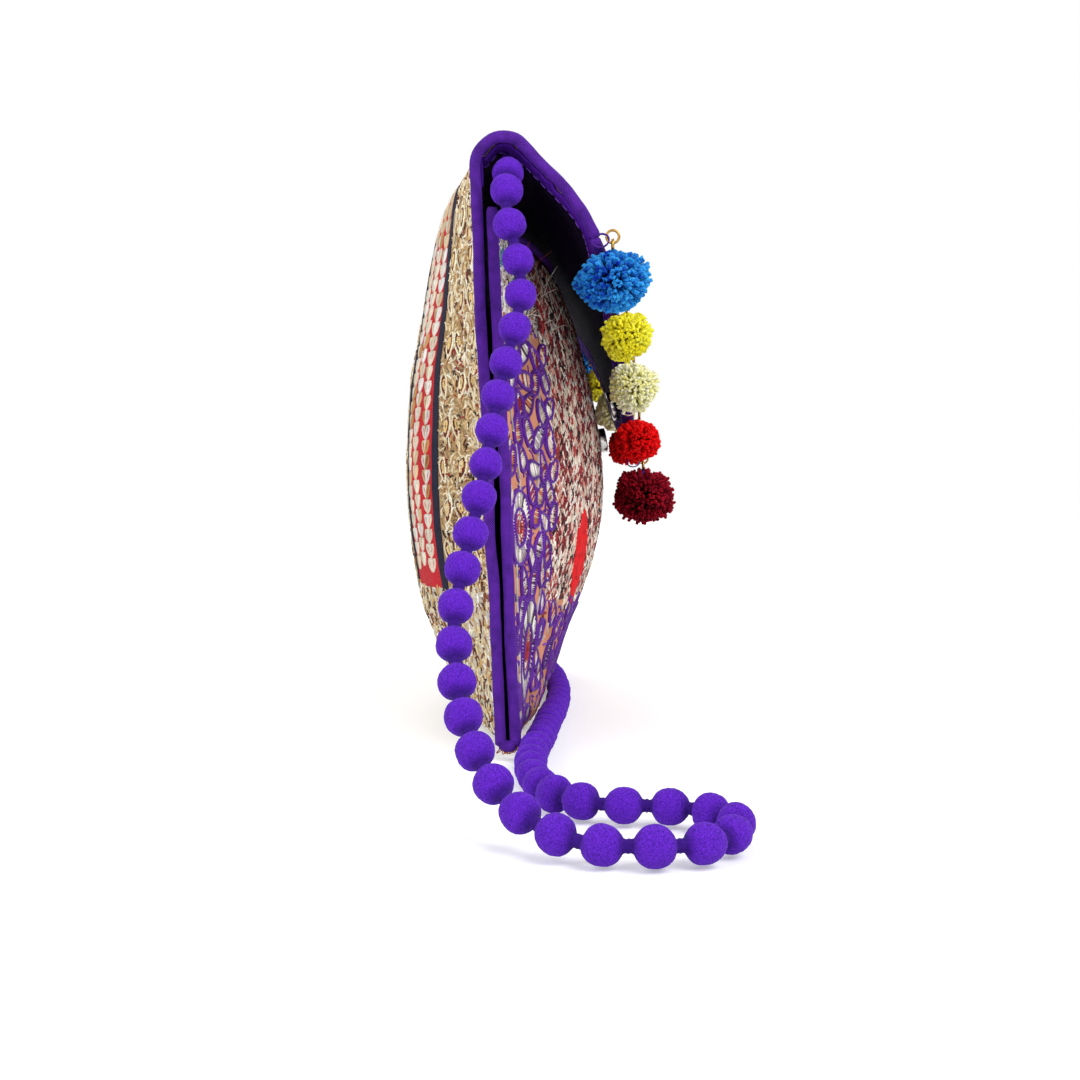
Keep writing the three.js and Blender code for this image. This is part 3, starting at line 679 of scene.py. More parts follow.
class Stitches:
    """Gathers runs of thread, given as x and b on a cloth, and lays them on it as one mesh."""

    def __init__(self, ground):
        self.ground, self.kinds = ground, {}

    def add(self, runs, width, height, colours, lift=0.0):
        runs = np.asarray(runs, float)
        count = len(runs)
        if count == 0:
            return
        sizes = (np.broadcast_to(v, count).copy() for v in (width, height, lift))
        row = (runs, *sizes, np.broadcast_to(colours, (count, 3)))
        self.kinds.setdefault(runs.shape[1], []).append(row)

    def lay(self, name, material):
        verts, faces, colours, start = [], [], [], 0
        for n, rows in self.kinds.items():
            runs, width, height, lift, colour = (np.concatenate(part) for part in zip(*rows))
            keep = self.ground.covers(runs[..., 0], runs[..., 1], 0.6).all(axis=1)
            runs, width, height, lift, colour = (a[keep] for a in (runs, width, height, lift, colour))
            keep = (self.ground.at(runs[..., 0], runs[..., 1])[0][..., 2] > lowest_stitch).all(axis=1)
            runs, width, height, lift, colour = (a[keep] for a in (runs, width, height, lift, colour))
            place, out = self.ground.at(runs[..., 0], runs[..., 1])
            along = np.gradient(place, axis=1)
            side = np.cross(along, out)
            side /= np.maximum(np.linalg.norm(side, axis=-1, keepdims=True), 1e-9)
            half = side * width[:, None, None] / 2
            foot = place + out * (lift - buried)[:, None, None]
            ridge = place + out * (lift + height)[:, None, None]
            ring = np.stack([foot + half, ridge, foot - half], axis=2)
            count = len(runs)
            index = start + np.arange(count * n * 3).reshape(count, n, 3)
            nxt = np.roll(index, -1, axis=2)
            quads = np.stack([index[:, :-1], index[:, 1:], nxt[:, 1:], nxt[:, :-1]], axis=-1)
            faces += quads.reshape(-1, 4).tolist()
            faces += index[:, 0].tolist() + index[:, -1, ::-1].tolist()
            verts.append(ring.reshape(-1, 3))
            worn = 1 + rng.normal(0, 0.10, (count, 1, 1, 1))
            dyed = np.broadcast_to(colour[:, None, None], ring.shape) * worn
            colours.append(np.clip(dyed, 0, 1).reshape(-1, 3))
            start += count * n * 3
        piece = mesh_object(name, np.concatenate(verts), faces)
        paint(piece, "thread", np.concatenate(colours))
        piece.data.materials.append(material)
        print(name, "has", len(faces), "faces")
        self.ground.work.append(piece)


def on_cloth(x, b):
    """Places on a cloth from how far across and how far along they are."""
    return np.stack([x, b], axis=-1)


def straight_runs(x, b, steps):
    """Short runs up the cloth, one from each place, through the given steps."""
    return np.stack([on_cloth(x, b + step) for step in steps], axis=1)


def oval(x, b, across, along, angle, size=1.0):
    return on_cloth(x + size * across * np.cos(angle), b + size * along * np.sin(angle))


def seam_stitches(stitches, sign, first, last):
    """A row of short violet stitches along a side seam."""
    b = np.arange(first, last, 2.7)
    x = np.full_like(b, sign * (cloth_end - seam_edge))
    stitches.add(straight_runs(x, b, (0, 0.9, 1.8)), 0.6, 0.5, srgb(110, 56, 190), 0.1)


def thread_finish(name, metal, rough, sheen):
    f = Finish(name, Metallic=metal, Roughness=rough, Specular_IOR_Level=0.25, Sheen_Weight=sheen)
    f.colour(f.add("Attribute", attribute_name="thread").outputs["Color"])
    spot = f.add("TexCoord").outputs["Object"]
    strands = {"Scale": 700.0, "Distortion": 3.0, "Detail": 1.0}
    ply = f.add("TexWave", {"Vector": spot}, strands, bands_direction="DIAGONAL")
    f.bump(ply.outputs["Fac"], 0.45, 0.0002)
    return f.material


silk = thread_finish("silk_thread", 0.0, 0.55, 0.05)
zari = thread_finish("metal_thread", 0.35, 0.42, 0.0)


def pick_colours(palette, count):
    colours, weights = zip(*palette)
    weights = np.array(weights) / sum(weights)
    return np.array([srgb(*c) for c in colours])[rng.choice(len(colours), count, p=weights)]


# %% Curls of metal thread
def swirl(x, b):
    """Direction of the work at a place, in loops about as wide as a finger."""
    return 2.2 * np.sin(x / 6.1 + 1.7 * np.sin(b / 8.3)) + 2.2 * np.cos(b / 7.0 + 1.4 * np.sin(x / 9.1))


def curls(stitches, x0, x1, b0, b1, spacing, palette, length=3.5, width=0.8):
    """Short bent stitches all over an area, which follow the swirl."""
    gx, gb = np.meshgrid(np.arange(x0, x1, spacing), np.arange(b0, b1, spacing), indexing="ij")
    x = (gx + rng.uniform(-0.5, 0.5, gx.shape) * spacing).ravel()
    b = (gb + rng.uniform(-0.5, 0.5, gb.shape) * spacing).ravel()
    count = len(x)
    turn = swirl(x, b) + rng.normal(0, 0.35, count)
    size = length * rng.uniform(0.7, 1.25, count)
    bend = rng.choice([-1, 1], count) * rng.uniform(0.1, 0.55, count)
    t = np.linspace(-0.5, 0.5, 4)
    along, off = size[:, None] * t, (size * bend)[:, None] * (t**2 * 4 - 0.5) * 0.5
    cx = x[:, None] + along * np.cos(turn)[:, None] - off * np.sin(turn)[:, None]
    cb = b[:, None] + along * np.sin(turn)[:, None] + off * np.cos(turn)[:, None]
    stitches.add(
        on_cloth(cx, cb), width * rng.uniform(0.8, 1.2, count), rng.uniform(0.28, 0.6, count),
        pick_colours(palette, count),
    )


def loops(x, b, turn, length, width, points=9):
    """Closed tear-drop loops of thread that start at x, b and point along turn."""
    phi = np.linspace(0, 2 * math.pi, points)
    along, off = (1 - np.cos(phi)) / 2, np.sin(phi) * np.sin(phi / 2) * 0.5
    c, s = np.cos(turn)[:, None], np.sin(turn)[:, None]
    a, o = np.multiply.outer(length, along), np.multiply.outer(width, off)
    return on_cloth(x[:, None] + a * c - o * s, b[:, None] + a * s + o * c)


def drops(stitches, x, b, lean, shares):
    """A column of drops, each in three sizes one inside the other, that lean to both sides in turn."""
    length, width, rise, points = 10, 7, 6, 13
    turn = math.pi / 2 + lean * np.where(np.arange(len(b)) % 2, 1, -1)
    for share, colour in zip(shares, ((250, 238, 206), (112, 44, 30), (236, 206, 140))):
        start = b + rise * (1 - share)
        size = np.full_like(b, share)
        drop = loops(np.full_like(b, x), start, turn, length * size, width * size, points)
        stitches.add(drop, 0.6, 0.7, srgb(*colour))


gold_palette = [
    ((216, 186, 136), 6), ((240, 224, 188), 5), ((194, 152, 100), 4), ((250, 242, 224), 3),
    ((96, 50, 28), 2), ((150, 40, 34), 1), ((40, 22, 20), 1),
]
pale_palette = [
    ((238, 222, 180), 4), ((206, 168, 108), 3), ((132, 74, 44), 2), ((250, 246, 236), 2), ((70, 34, 24), 1),
]
flap_end = back.run[-1]
for sign, side_name in ((-1, "left"), (1, "right")):
    metal_work = Stitches(back)
    lo, hi = sorted((sign * (cloth_end - 1.5), sign * (cloth_end - 47)))
    curls(metal_work, lo, hi, foot_line, flap_end, 2.0, gold_palette)
    b = np.arange(foot_line + 8, flap_end, 15.0)
    for from_edge, lean in ((12, 0.5), (28, -0.5), (41, 0.35)):
        drops(metal_work, sign * (cloth_end - from_edge), b, lean, (1.0, 0.72, 0.45))
    metal_work.lay(f"back_metal_thread_{side_name}", zari)
middle_work = Stitches(back)
curls(middle_work, -24, 24, foot_line, flap_end, 2.1, gold_palette, 3.4)
b = np.arange(foot_line + 10, flap_end, 17.0)
for x, lean in ((-12, 0.5), (12, -0.5)):
    drops(middle_work, x, b, lean, (1.0, 0.7, 0.4))
middle_work.lay("back_metal_thread_middle", zari)
foot_work = Stitches(back)
curls(foot_work, -cloth_end + 1.5, cloth_end - 1.5, 3, foot_line, 2.4, pale_palette)
foot_work.lay("back_metal_thread_foot", zari)

# %% Ears of chain stitch on the red bands
cream_palette = [((246, 236, 214), 6), ((226, 200, 160), 3), ((200, 150, 96), 1), ((252, 248, 240), 3)]
ears = Stitches(back)
for sign in (-1, 1):
    for k, from_edge in enumerate((60.5, 73.5, 86.5)):
        b = np.arange(foot_line + 6 + 2 * (k % 2), flap_end, 5.4)
        x = np.full_like(b, sign * (cloth_end - from_edge)) + 0.7 * np.sin(b / 9 + k)
        for lean in (-1, 1):
            turn = np.full_like(b, math.pi / 2 + lean * 0.6)
            outer = loops(x, b, turn, np.full_like(b, 6.0), np.full_like(b, 3.4))
            ears.add(outer, 0.62, 0.7, pick_colours(cream_palette, len(b)))
        stem = straight_runs(x, b, (0, 2.7, 5.3))
        ears.add(stem, 0.75, 0.75, pick_colours(cream_palette, len(b)))
ears.lay("back_chain_stitch_ears", silk)

# %% [markdown]
# The dark ribbon is couched flat on the cloth at both sides of the red band. It is a run of long flat
# ridges, one after the other, so that it follows the cloth up the back and over the fold.

# %% Dark ribbons
ribbons = Stitches(back)
for sign in (-1, 1):
    for from_edge, wide in ((51, 5.6), (96.5, 4.2)):
        start = np.arange(foot_line - 1, flap_end - 8, 7.5)
        for strand in np.linspace(-0.5, 0.5, 5):
            x = np.full_like(start, sign * (cloth_end - from_edge) + strand * wide * 0.8)
            ribbons.add(straight_runs(x, start, 1.9 * np.arange(5)), wide / 3.4, 0.55, srgb(16, 14, 44))
    seam_stitches(ribbons, sign, 8, flap_end)
ribbons.lay("back_dark_ribbons", silk)

# %% [markdown]
# On the front, the peach field carries a vine: leaves with a violet corded outline, each filled with
# slanted satin stitches, and two round motifs near the foot. The outline is couched last, over the ends
# of the satin stitches, as it is sewn.

# %% Leaves with corded outlines
violet = srgb(88, 20, 142)
fills = [
    [((236, 226, 214), 3), ((196, 176, 160), 2), ((120, 40, 44), 1)],
    [((250, 242, 232), 3), ((180, 168, 172), 2), ((60, 40, 46), 1)],
    [((150, 34, 40), 3), ((226, 176, 150), 2), ((236, 226, 214), 1)],
    [((240, 210, 168), 3), ((206, 120, 84), 2), ((100, 30, 40), 1)],
]
outlines, satin = Stitches(front), Stitches(front)


def leaf(x, b, turn, length, width, fill):
    """A leaf about a place, with slanted satin stitches inside its outline."""
    t = np.linspace(0, 2 * math.pi, 15)
    along = length * (0.5 - 0.5 * np.cos(t))
    off = 0.5 * width * np.sin(t) * (1 - 0.35 * np.cos(t))
    c, s = math.cos(turn), math.sin(turn)
    x0, b0 = x - 0.5 * length * c, b - 0.5 * length * s
    rim = on_cloth(x0 + along * c - off * s, b0 + along * s + off * c)
    outlines.add([rim], 1.85, 1.0, violet, 0.05)
    steps = np.arange(0.14, 0.9, 0.85 / length)
    half = 0.5 * width * np.sin(np.arccos(1 - 2 * steps)) * (1 - 0.35 * (1 - 2 * steps)) * 0.9
    ends = []
    for sign in (-1, 0, 1):
        a = steps * length + sign * 0.8
        o = sign * half
        ends.append(on_cloth(x0 + a * c - o * s, b0 + a * s + o * c))
    satin.add(np.stack(ends, axis=1), 0.8, 0.5, pick_colours(fills[fill % 4], len(steps)))


def medallion(x, b, across, along, petals):
    """A round motif: an outline, a ring of radial stitches and a small centre."""
    t = np.linspace(0, 2 * math.pi, 29)
    for size in (1.0, 0.52):
        outlines.add([oval(x, b, across, along, t, size)], 1.9, 1.05, violet, 0.05)
    spoke = np.linspace(0, 2 * math.pi, petals, endpoint=False)
    ends = [oval(x, b, across, along, spoke, r) for r in (0.56, 0.76, 0.95)]
    satin.add(np.stack(ends, axis=1), 0.85, 0.6, pick_colours(fills[1], petals))
    ring = np.linspace(0, 2 * math.pi, 13)
    for r in (0.36, 0.18):
        satin.add([oval(x, b, across, along, ring, r)], 1.5, 0.7, srgb(164, 36, 40))
    every_other = spoke[::2]
    inner = [oval(x, b, across, along, every_other, r) for r in (0.24, 0.36, 0.47)]
    satin.add(np.stack(inner, axis=1), 0.8, 0.5, pick_colours(fills[0], len(every_other)))


leaf_count = 0
braid_foot_height = 46
for sign in (-1, 1):
    def out_at(from_edge):
        return sign * (cloth_end - from_edge)

    def place_at(from_edge, height):
        return out_at(from_edge), front.along_at(out_at(from_edge), height)

    upper_round, lower_round = (12, 74), (24, 32)  # from the side edge, and height
    medallion(*place_at(*upper_round), 9.5, 13, 44)
    medallion(*place_at(*lower_round), 11, 19, 56)
    for row, z in enumerate(np.arange(9, 142, 9.6)):
        for k, from_edge in enumerate((4.8, 13.5, 22.5, 31, 39)):
            e = from_edge + (2.6 if row % 2 else -1.0) + rng.normal(0, 0.7)
            height = z + rng.normal(0, 1.0)
            on_upper = math.hypot((e - upper_round[0]) / 12, (height - upper_round[1]) / 16.5) < 1
            on_lower = math.hypot((e - lower_round[0]) / 13.5, (height - lower_round[1]) / 22.5) < 1
            if on_upper or on_lower:
                continue
            lean = (0.55 if (row + k) % 2 else -0.6) + rng.normal(0, 0.4)
            length = 11.0 + rng.normal(0, 1.7)
            leaf(*place_at(e, height), math.pi / 2 + lean, length, 5.8, row * 3 + k)
            leaf_count += 1
    for row, (e, z) in enumerate([(46, 22), (58, 28), (70, 22), (82, 28), (94, 22), (106, 28), (118, 23)]):
        tip_side = 1 if row % 2 else -1
        leaf(*place_at(e, z), math.pi / 2 + tip_side * 0.5, 13, 7, row)
        leaf(*place_at(e - 5, z + 15), math.pi / 2 - tip_side * 0.7, 12, 6.5, row + 1)
    z = np.arange(10, 160, 4.0)
    for start, sway in ((10.5, 2.4), (31, -2.8)):
        e = start + sway * np.sin(z / 11)
        stem = np.array([place_at(v, h) for v, h in zip(e, z)])
        pieces_of_stem = np.stack([stem[:-2:2], stem[1:-1:2], stem[2::2]], axis=1)
        outlines.add(pieces_of_stem, 0.75, 0.6, srgb(196, 186, 180), 0.1)
    lo, hi = sorted((out_at(2.5), out_at(41)))
    field = front.along_at(out_at(20), 138), front.run[-1]
    comma = [((88, 20, 142), 5), ((120, 50, 170), 1), ((196, 186, 180), 1), ((140, 30, 40), 1)]
    curls(outlines, lo, hi, *field, 6.2, comma, 5.0, 1.25)
    lo, hi = sorted((out_at(41), out_at(122)))
    curls(outlines, lo, hi, front.along_at(0, braid_foot_height), front.run[-1], 5.6, comma, 5.2, 1.25)
    seam_stitches(satin, sign, 3, front.run[-1])
satin.lay("front_satin_stitches", silk)
outlines.lay("front_leaf_outlines", silk)
print("leaves", leaf_count)

# %% [markdown]
# Between the peach fields the front is covered with braid: upright rows of slanted stitches that meet in
# chevrons, in mixed cream, maroon and black. A red patch lies in the braid below mid-height, and
# blue-green and silver patches lie near the mouth.

# %% Braid on the front
braid_palette = [
    ((240, 226, 206), 5), ((214, 176, 160), 3), ((156, 52, 56), 4), ((110, 24, 34), 2), ((40, 20, 24), 3),
    ((252, 246, 238), 2),
]
braid_rows = [
    (232, 204, 186), (176, 48, 54), (222, 156, 140), (130, 22, 36), (240, 216, 202), (44, 20, 26),
    (196, 66, 66),
]
braid = Stitches(front)
last_b = front.along_at(0, braid_foot_height)
patch_from_edge, patch_height, patch_half = 77, 62, 8.2
patch_at = front.along_at(cloth_end - patch_from_edge, patch_height)
for sign in (-1, 1):
    for k, from_edge in enumerate(np.arange(42.5, 100, 3.5)):
        top = 4 if from_edge > 44 else 30
        b = np.arange(top + (k % 2) * 0.8, last_b + 3 * math.sin(k), 1.5)
        x = np.full_like(b, sign * (cloth_end - from_edge)) + 0.5 * np.sin(b / 21 + k)
        patch_wide = patch_half * np.sqrt(np.clip(1 - ((b - patch_at) / 19) ** 2, 0, 1))
        patch = np.abs(from_edge - patch_from_edge) < patch_wide
        x, b = x[~patch], b[~patch]
        for lean in (-1, 1):
            run = np.stack([
                on_cloth(x, b + 1.5), on_cloth(x + lean * 1.0, b + 0.5), on_cloth(x + lean * 1.75, b - 1.0),
            ], axis=1)
            run += rng.normal(0, 0.18, run.shape)
            row_palette = [(braid_rows[k % len(braid_rows)], 6), *braid_palette]
            braid.add(run, 0.95, rng.uniform(0.4, 0.7, len(b)), pick_colours(row_palette, len(b)))
curls(braid, -23, 23, 4, last_b, 2.1, braid_palette, 3.4, 0.75)
braid.lay("front_braid", silk)

# %% Red, blue-green and silver patches
patches = Stitches(front)
for sign in (-1, 1):
    for dx in np.arange(-7.8, 7.9, 0.85):
        reach = 18 * math.sqrt(max(1 - (dx / patch_half) ** 2, 0))
        edges = np.linspace(patch_at - reach, patch_at + reach, max(int(reach / 4), 2) * 4 + 1)
        x = sign * (cloth_end - patch_from_edge - dx)
        run = np.stack([on_cloth(np.full(5, x), edges[i:i + 5]) for i in range(0, len(edges) - 4, 4)])
        patches.add(run, 1.15, 0.7, srgb(232, 10, 22))
    for e0, z0, wide, tall, colour in (
        (3.5, 160, 11, 5, (38, 132, 158)), (20, 152, 7, 9, (30, 110, 150)), (5, 137, 7, 8, (40, 96, 170)),
    ):
        for z in np.arange(z0 - tall / 2, z0 + tall / 2, 0.9):
            rise = 0.35 * np.linspace(0, wide, 4)
            across = sign * (cloth_end - np.linspace(e0, e0 + wide, 4))
            run = [[(x, front.along_at(x, z + up)) for x, up in zip(across, rise)]]
            patches.add(run, 1.1, 0.6, srgb(*colour), 0.1)
silver = [
    ((214, 208, 204), 5), ((160, 150, 148), 3), ((60, 44, 44), 2), ((250, 246, 240), 3), ((150, 90, 80), 1),
]
for sign in (-1, 1):
    lo, hi = sorted((sign * (cloth_end - 1.5), sign * (cloth_end - 42)))
    top_end = front.along_at(sign * (cloth_end - 20), 140)
    curls(patches, lo, hi, 2, top_end, 1.7, silver, 4.2, 0.7)
patches.lay("front_patches", silk)

# %% [markdown]
# ## Linings
# The pouch is lined with one dark satin sheet, and the flap's lining starts below the fold. Near the
# flap's edges the lining has a violet facing about 9 mm wide, held by a row of stitches. The distance to
# the edge is kept on the points, so the border between facing and lining stays sharp.

# %% Linings
depth = cloth + gap
lining_thickness = 0.8
facing_width = 9.0


def lining_grid(ground, first, last, inset, depth_mm):
    """Rows of a cloth's grid, moved in from its outer face and from its ends."""
    grid = ground.out[:, first:last + 1] - ground.normal[:, first:last + 1] * depth_mm
    grid[..., 0] *= (cloth_end - inset) / cloth_end
    return grid


def pouch_grid(inset, depth_mm):
    """Rows of the pouch, down inside the front and up inside the back."""
    down = lining_grid(front, 0, front.out.shape[1] - 1, inset, depth_mm)
    up = lining_grid(back, 0, shoulder_row, inset, depth_mm)
    return np.concatenate([down, up], axis=1)


pouch_outer = pouch_grid(2, depth)
pouch_inner = pouch_grid(2.8, depth + lining_thickness)
pouch_rows = np.linspace(0, front.run[-1] + back.run[shoulder_row], pouch_outer.shape[1])
pouch_uv = np.stack(np.broadcast_arrays((u * cloth_end)[:, None], pouch_rows[None]), axis=-1)
pouch_end = pouch_outer.shape[1] - 1
coarse = np.s_[::2, np.r_[0:pouch_end:2, pouch_end]]
pouch_faces = pouch_outer[coarse], pouch_inner[coarse], pouch_uv[coarse]
pouch_lining = shell("pouch_lining_cloth", *pouch_faces, ["pouch_lining"])

last_row = back.out.shape[1] - 1
flap_outer = lining_grid(back, shoulder_row, last_row, 2, depth)
flap_inner = lining_grid(back, shoulder_row, last_row, 2, depth + lining_thickness)
flap_uv = cloth_uv(back)[:, shoulder_row:]
flap_lining = shell("flap_lining_cloth", flap_outer, flap_inner, flap_uv, ["flap_lining"])
slope = math.hypot(1, (flap_length - flap_side) / cloth_end)
to_end = (back.fold + flap_lengths[:, None] - flap_uv[..., 1]) / slope
to_edge = np.minimum(cloth_end - np.abs(flap_uv[..., 0]), to_end)
layer = flap_lining.data.attributes.new("to_edge", "FLOAT", "POINT")
layer.data.foreach_set("value", np.tile(to_edge.ravel(), 2).astype(np.float32))
print("linings", len(pouch_lining.data.polygons), len(flap_lining.data.polygons), "faces")

# %% Satin finish
def satin_finish(name, facing):
    f = Finish(
        name, Roughness=0.75, Specular_IOR_Level=0.08, Sheen_Weight=0.03, Sheen_Tint=srgb(120, 60, 190),
    )
    flat = f.add("UVMap", uv_map="cloth").outputs["UV"]
    threads = {"Scale": 640.0, "Distortion": 1.0, "Detail": 1.0}
    slub = f.add("TexWave", {"Vector": flat}, threads, bands_direction="X")
    fold = f.add("TexNoise", {"Vector": flat}, {"Scale": 34.0, "Detail": 3.0})
    shown = f.ramp(fold.outputs["Fac"], (0.3, srgb(9, 3, 16)), (0.75, srgb(22, 9, 36)))
    if facing:
        edge = f.add("Attribute", attribute_name="to_edge").outputs["Fac"]
        border = f.add("Math", {0: edge}, {1: facing_width}, operation="LESS_THAN")
        violets = {"Color1": srgb(62, 16, 128), "Color2": srgb(96, 34, 176)}
        strip = f.add("MixRGB", {"Fac": fold.outputs["Fac"]}, violets)
        sides = {"Fac": border.outputs[0], "Color1": shown, "Color2": strip.outputs[0]}
        shown = f.add("MixRGB", sides).outputs[0]
    f.colour(shown)
    height = f.add("Math", {0: slub.outputs["Fac"], 1: fold.outputs["Fac"]}, operation="ADD")
    f.bump(height.outputs[0], 0.3, 0.0005)
    return f.material


pouch_lining.data.materials.append(satin_finish("dark_satin", False))
flap_lining.data.materials.append(satin_finish("dark_satin_with_facing", True))

# %% [markdown]
# ## Corded edges
# A violet cord, cotton over a cotton core, is sewn into the side seams, round the bottom corners, over
# the back and along the flap. A second one edges the mouth. Each is a tube along the seam's own line, and
# the cover's slanted weave follows its UV map.

# %% Cords
cover_radius, mouth_cover_radius = 1.85, 1.8
front_rise_end, back_rise_start = 70, 18  # rows of the cloths between which the cord turns under the bag


def cord_tube(name, line_mm, radius, replaces, sides=14, step=1.3):
    total = run_of(line_mm)[-1]
    s = np.linspace(0, total, int(total / step) + 1)
    centre = at_length(line_mm, s)
    _, across, over = frames_along(centre)
    angle = np.linspace(0, 2 * math.pi, sides, endpoint=False)
    uneven = 1 + 0.035 * np.sin(s / 3.7 + 2 * np.sin(s / 17))
    swell = radius * uneven[:, None] + rng.normal(0, 0.012, (len(s), sides))
    swell[[0, -1]] *= 0.8
    points = rings_along(centre, across, over, angle, swell)
    piece = mesh_object(name, points.reshape(-1, 3), ring_faces(len(s), sides), replaces=replaces)
    layer = piece.data.uv_layers.new(name="cover")
    row, column = np.divmod(corners_of(piece), sides)
    around = column * 2 * math.pi * radius / sides
    first = np.repeat(np.arange(len(piece.data.polygons)), [p.loop_total for p in piece.data.polygons])
    wraps = np.zeros(len(piece.data.polygons), bool)
    np.logical_or.at(wraps, first, column == sides - 1)
    around = np.where(wraps[first] & (column == 0), 2 * math.pi * radius, around)
    flat = np.stack([s[row], around], axis=-1) * MM
    layer.data.foreach_set("uv", flat.astype(np.float32).ravel())
    piece.data.materials.append(cover.material)


cover = Finish(
    "violet_cord_cover", Roughness=0.8, Specular_IOR_Level=0.2, Sheen_Weight=0.12, Sheen_Roughness=0.4,
    Sheen_Tint=srgb(170, 120, 240),
)
wrap = cover.add("UVMap", uv_map="cover").outputs["UV"]
ways = []
for turn in (0.8, -0.8):
    slanted = cover.add("Mapping", {"Vector": wrap}, {"Rotation": (0, 0, turn)}).outputs[0]
    bands = cover.add("TexWave", {"Vector": slanted}, {"Scale": 560.0, "Distortion": 0.8})
    ways.append(bands.outputs["Fac"])
weave = cover.add("Math", {0: ways[0], 1: ways[1]}, operation="MULTIPLY")
cloudy = cover.add("TexNoise", {"Vector": wrap}, {"Scale": 240.0, "Detail": 3.0})
blend = cover.add("Math", {0: weave.outputs[0], 1: cloudy.outputs["Fac"]}, operation="ADD")
cover.colour(cover.ramp(blend.outputs[0], (0.3, srgb(38, 6, 86)), (1.0, srgb(98, 36, 170))))
cover.bump(weave.outputs[0], 0.6, 0.0004)

turn_centre = np.array([seam_line(end_lift), end_lift + end_half])
turn_angle = np.linspace(math.pi, 2 * math.pi, 13)
half_round = np.stack([np.cos(turn_angle), np.sin(turn_angle)], axis=-1)
bottom_turn = turn_centre + (end_half - cloth / 2) * half_round
front_rise = (front.out[0] - front.normal[0] * cloth / 2)[:front_rise_end][::-1]
back_rise = (back.out[0] - back.normal[0] * cloth / 2)[back_rise_start:]
for sign, side_name in ((-1, "left"), (1, "right")):
    start = [(front_rise[-1][1], front_rise[-1][2] + cord_d)]
    yz = np.concatenate([
        start, front_rise[::-6][:, 1:], bottom_turn, back_rise[::6][:, 1:], back_rise[-1:, 1:],
    ])
    line = np.c_[np.full(len(yz), sign * cord_x), yz]
    cord_tube(f"side_cord_{side_name}_cover", smooth_line(line, 8), cover_radius, [f"side_cord_{side_name}"])
flap_edge = back.out[:, -1] - back.normal[:, -1] * cloth / 2
fall = back.out[:, -1] - back.out[:, -3]
along = np.gradient(flap_edge, axis=0)
along /= np.linalg.norm(along, axis=1, keepdims=True)
fall -= along * (fall * along).sum(axis=1, keepdims=True)
fall /= np.linalg.norm(fall, axis=1, keepdims=True)
flap_line = flap_edge + fall * (cord_d / 2 + 0.1)
first_end, last_end = flap_line[0] + (-2, 0, 0), flap_line[-1] + (2, 0, 0)
flap_line = smooth_line(np.concatenate([[first_end], flap_line[::4], [last_end]]), 8)
cord_tube("flap_cord_cover", flap_line, cover_radius, ["flap_cord"])
mouth_line = front.out[:, 0] - front.normal[:, 0] * cloth / 2 + (0, 0, cord_d / 2 + 0.1)
cord_tube("mouth_cord_cover", smooth_line(mouth_line[::4], 8), mouth_cover_radius, ["mouth_cord"])
print("corded edges done")

# %% [markdown]
# ## Pompoms
# A pompom is hundreds of short strands of wool bound at the middle. One strand is a tapered, closed
# spike of a few faces, a little bent; they stand all round a small core, painted dark as the shade deep
# in the ball, at uneven lengths, so that the ball is ragged. Each strand is darker at its root, where light
# doesn't reach, and a little lighter at its tip, as painted shade and highlight.

# %% Wool
pivots = {joint["name"]: np.array(joint["pos_m"]) / MM for joint in frame["joints"]}
pompoms = range(1, 10)
tie_turns = np.linspace(0, 2 * math.pi * 5.5, 100)


def middle_of(node):
    """Middle of a CAD node's box, in millimetres."""
    low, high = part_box(node)
    return np.array([(low[k] + high[k]) / 2 for k in range(3)]) / MM


def ring_tie(number):
    """Thread that goes round the flap's cord and through the upper ring, a few times."""
    pivot = pivots[f"pompom_{number}_swing"]
    cord_at = pivot + (0, 4.4, -1.5)
    towards = (pivot - cord_at) / np.linalg.norm(pivot - cord_at)
    sideways = np.cross((1, 0, 0), towards)
    spread = np.linspace(-0.75, 0.75, len(tie_turns))[:, None] * np.array([1, 0, 0])
    to_ring = np.outer(0.62 + 2.72 * np.cos(tie_turns), towards)
    return cord_at + spread + to_ring + np.outer(2.1 * np.sin(tie_turns), sideways)


def keep_clear(number, root, tip, bend):
    """Trims strands that would meet the flap's cord or a tie when the pompom swings in."""
    pivot = pivots[f"pompom_{number}_swing"]
    near = at_length(flap_line, np.arange(0, run_of(flap_line)[-1], 0.8))
    near = near[np.abs(near[:, 0] - pivot[0]) < 22]
    for _ in range(16):
        short = np.zeros(len(tip), bool)
        for degrees in (0, 5, 10.5):
            c, s = math.cos(math.radians(degrees)), math.sin(math.radians(degrees))
            for share in (0.35, 0.6, 0.8, 1.0):
                p = root + (tip - root) * share + bend * share**2 - pivot
                p = np.stack([p[:, 0], p[:, 1] * c - p[:, 2] * s, p[:, 1] * s + p[:, 2] * c], axis=-1) + pivot
                for obstacle, room in ((near, 2.95), (ring_tie(number)[::2], 1.25)):
                    gap_to = np.linalg.norm(p[:, None] - obstacle[None], axis=-1).min(axis=1)
                    short |= gap_to < room
        if not short.any():
            break
        tip[short] = root[short] + (tip[short] - root[short]) * 0.9
        bend[short] *= 0.9
    return tip, bend


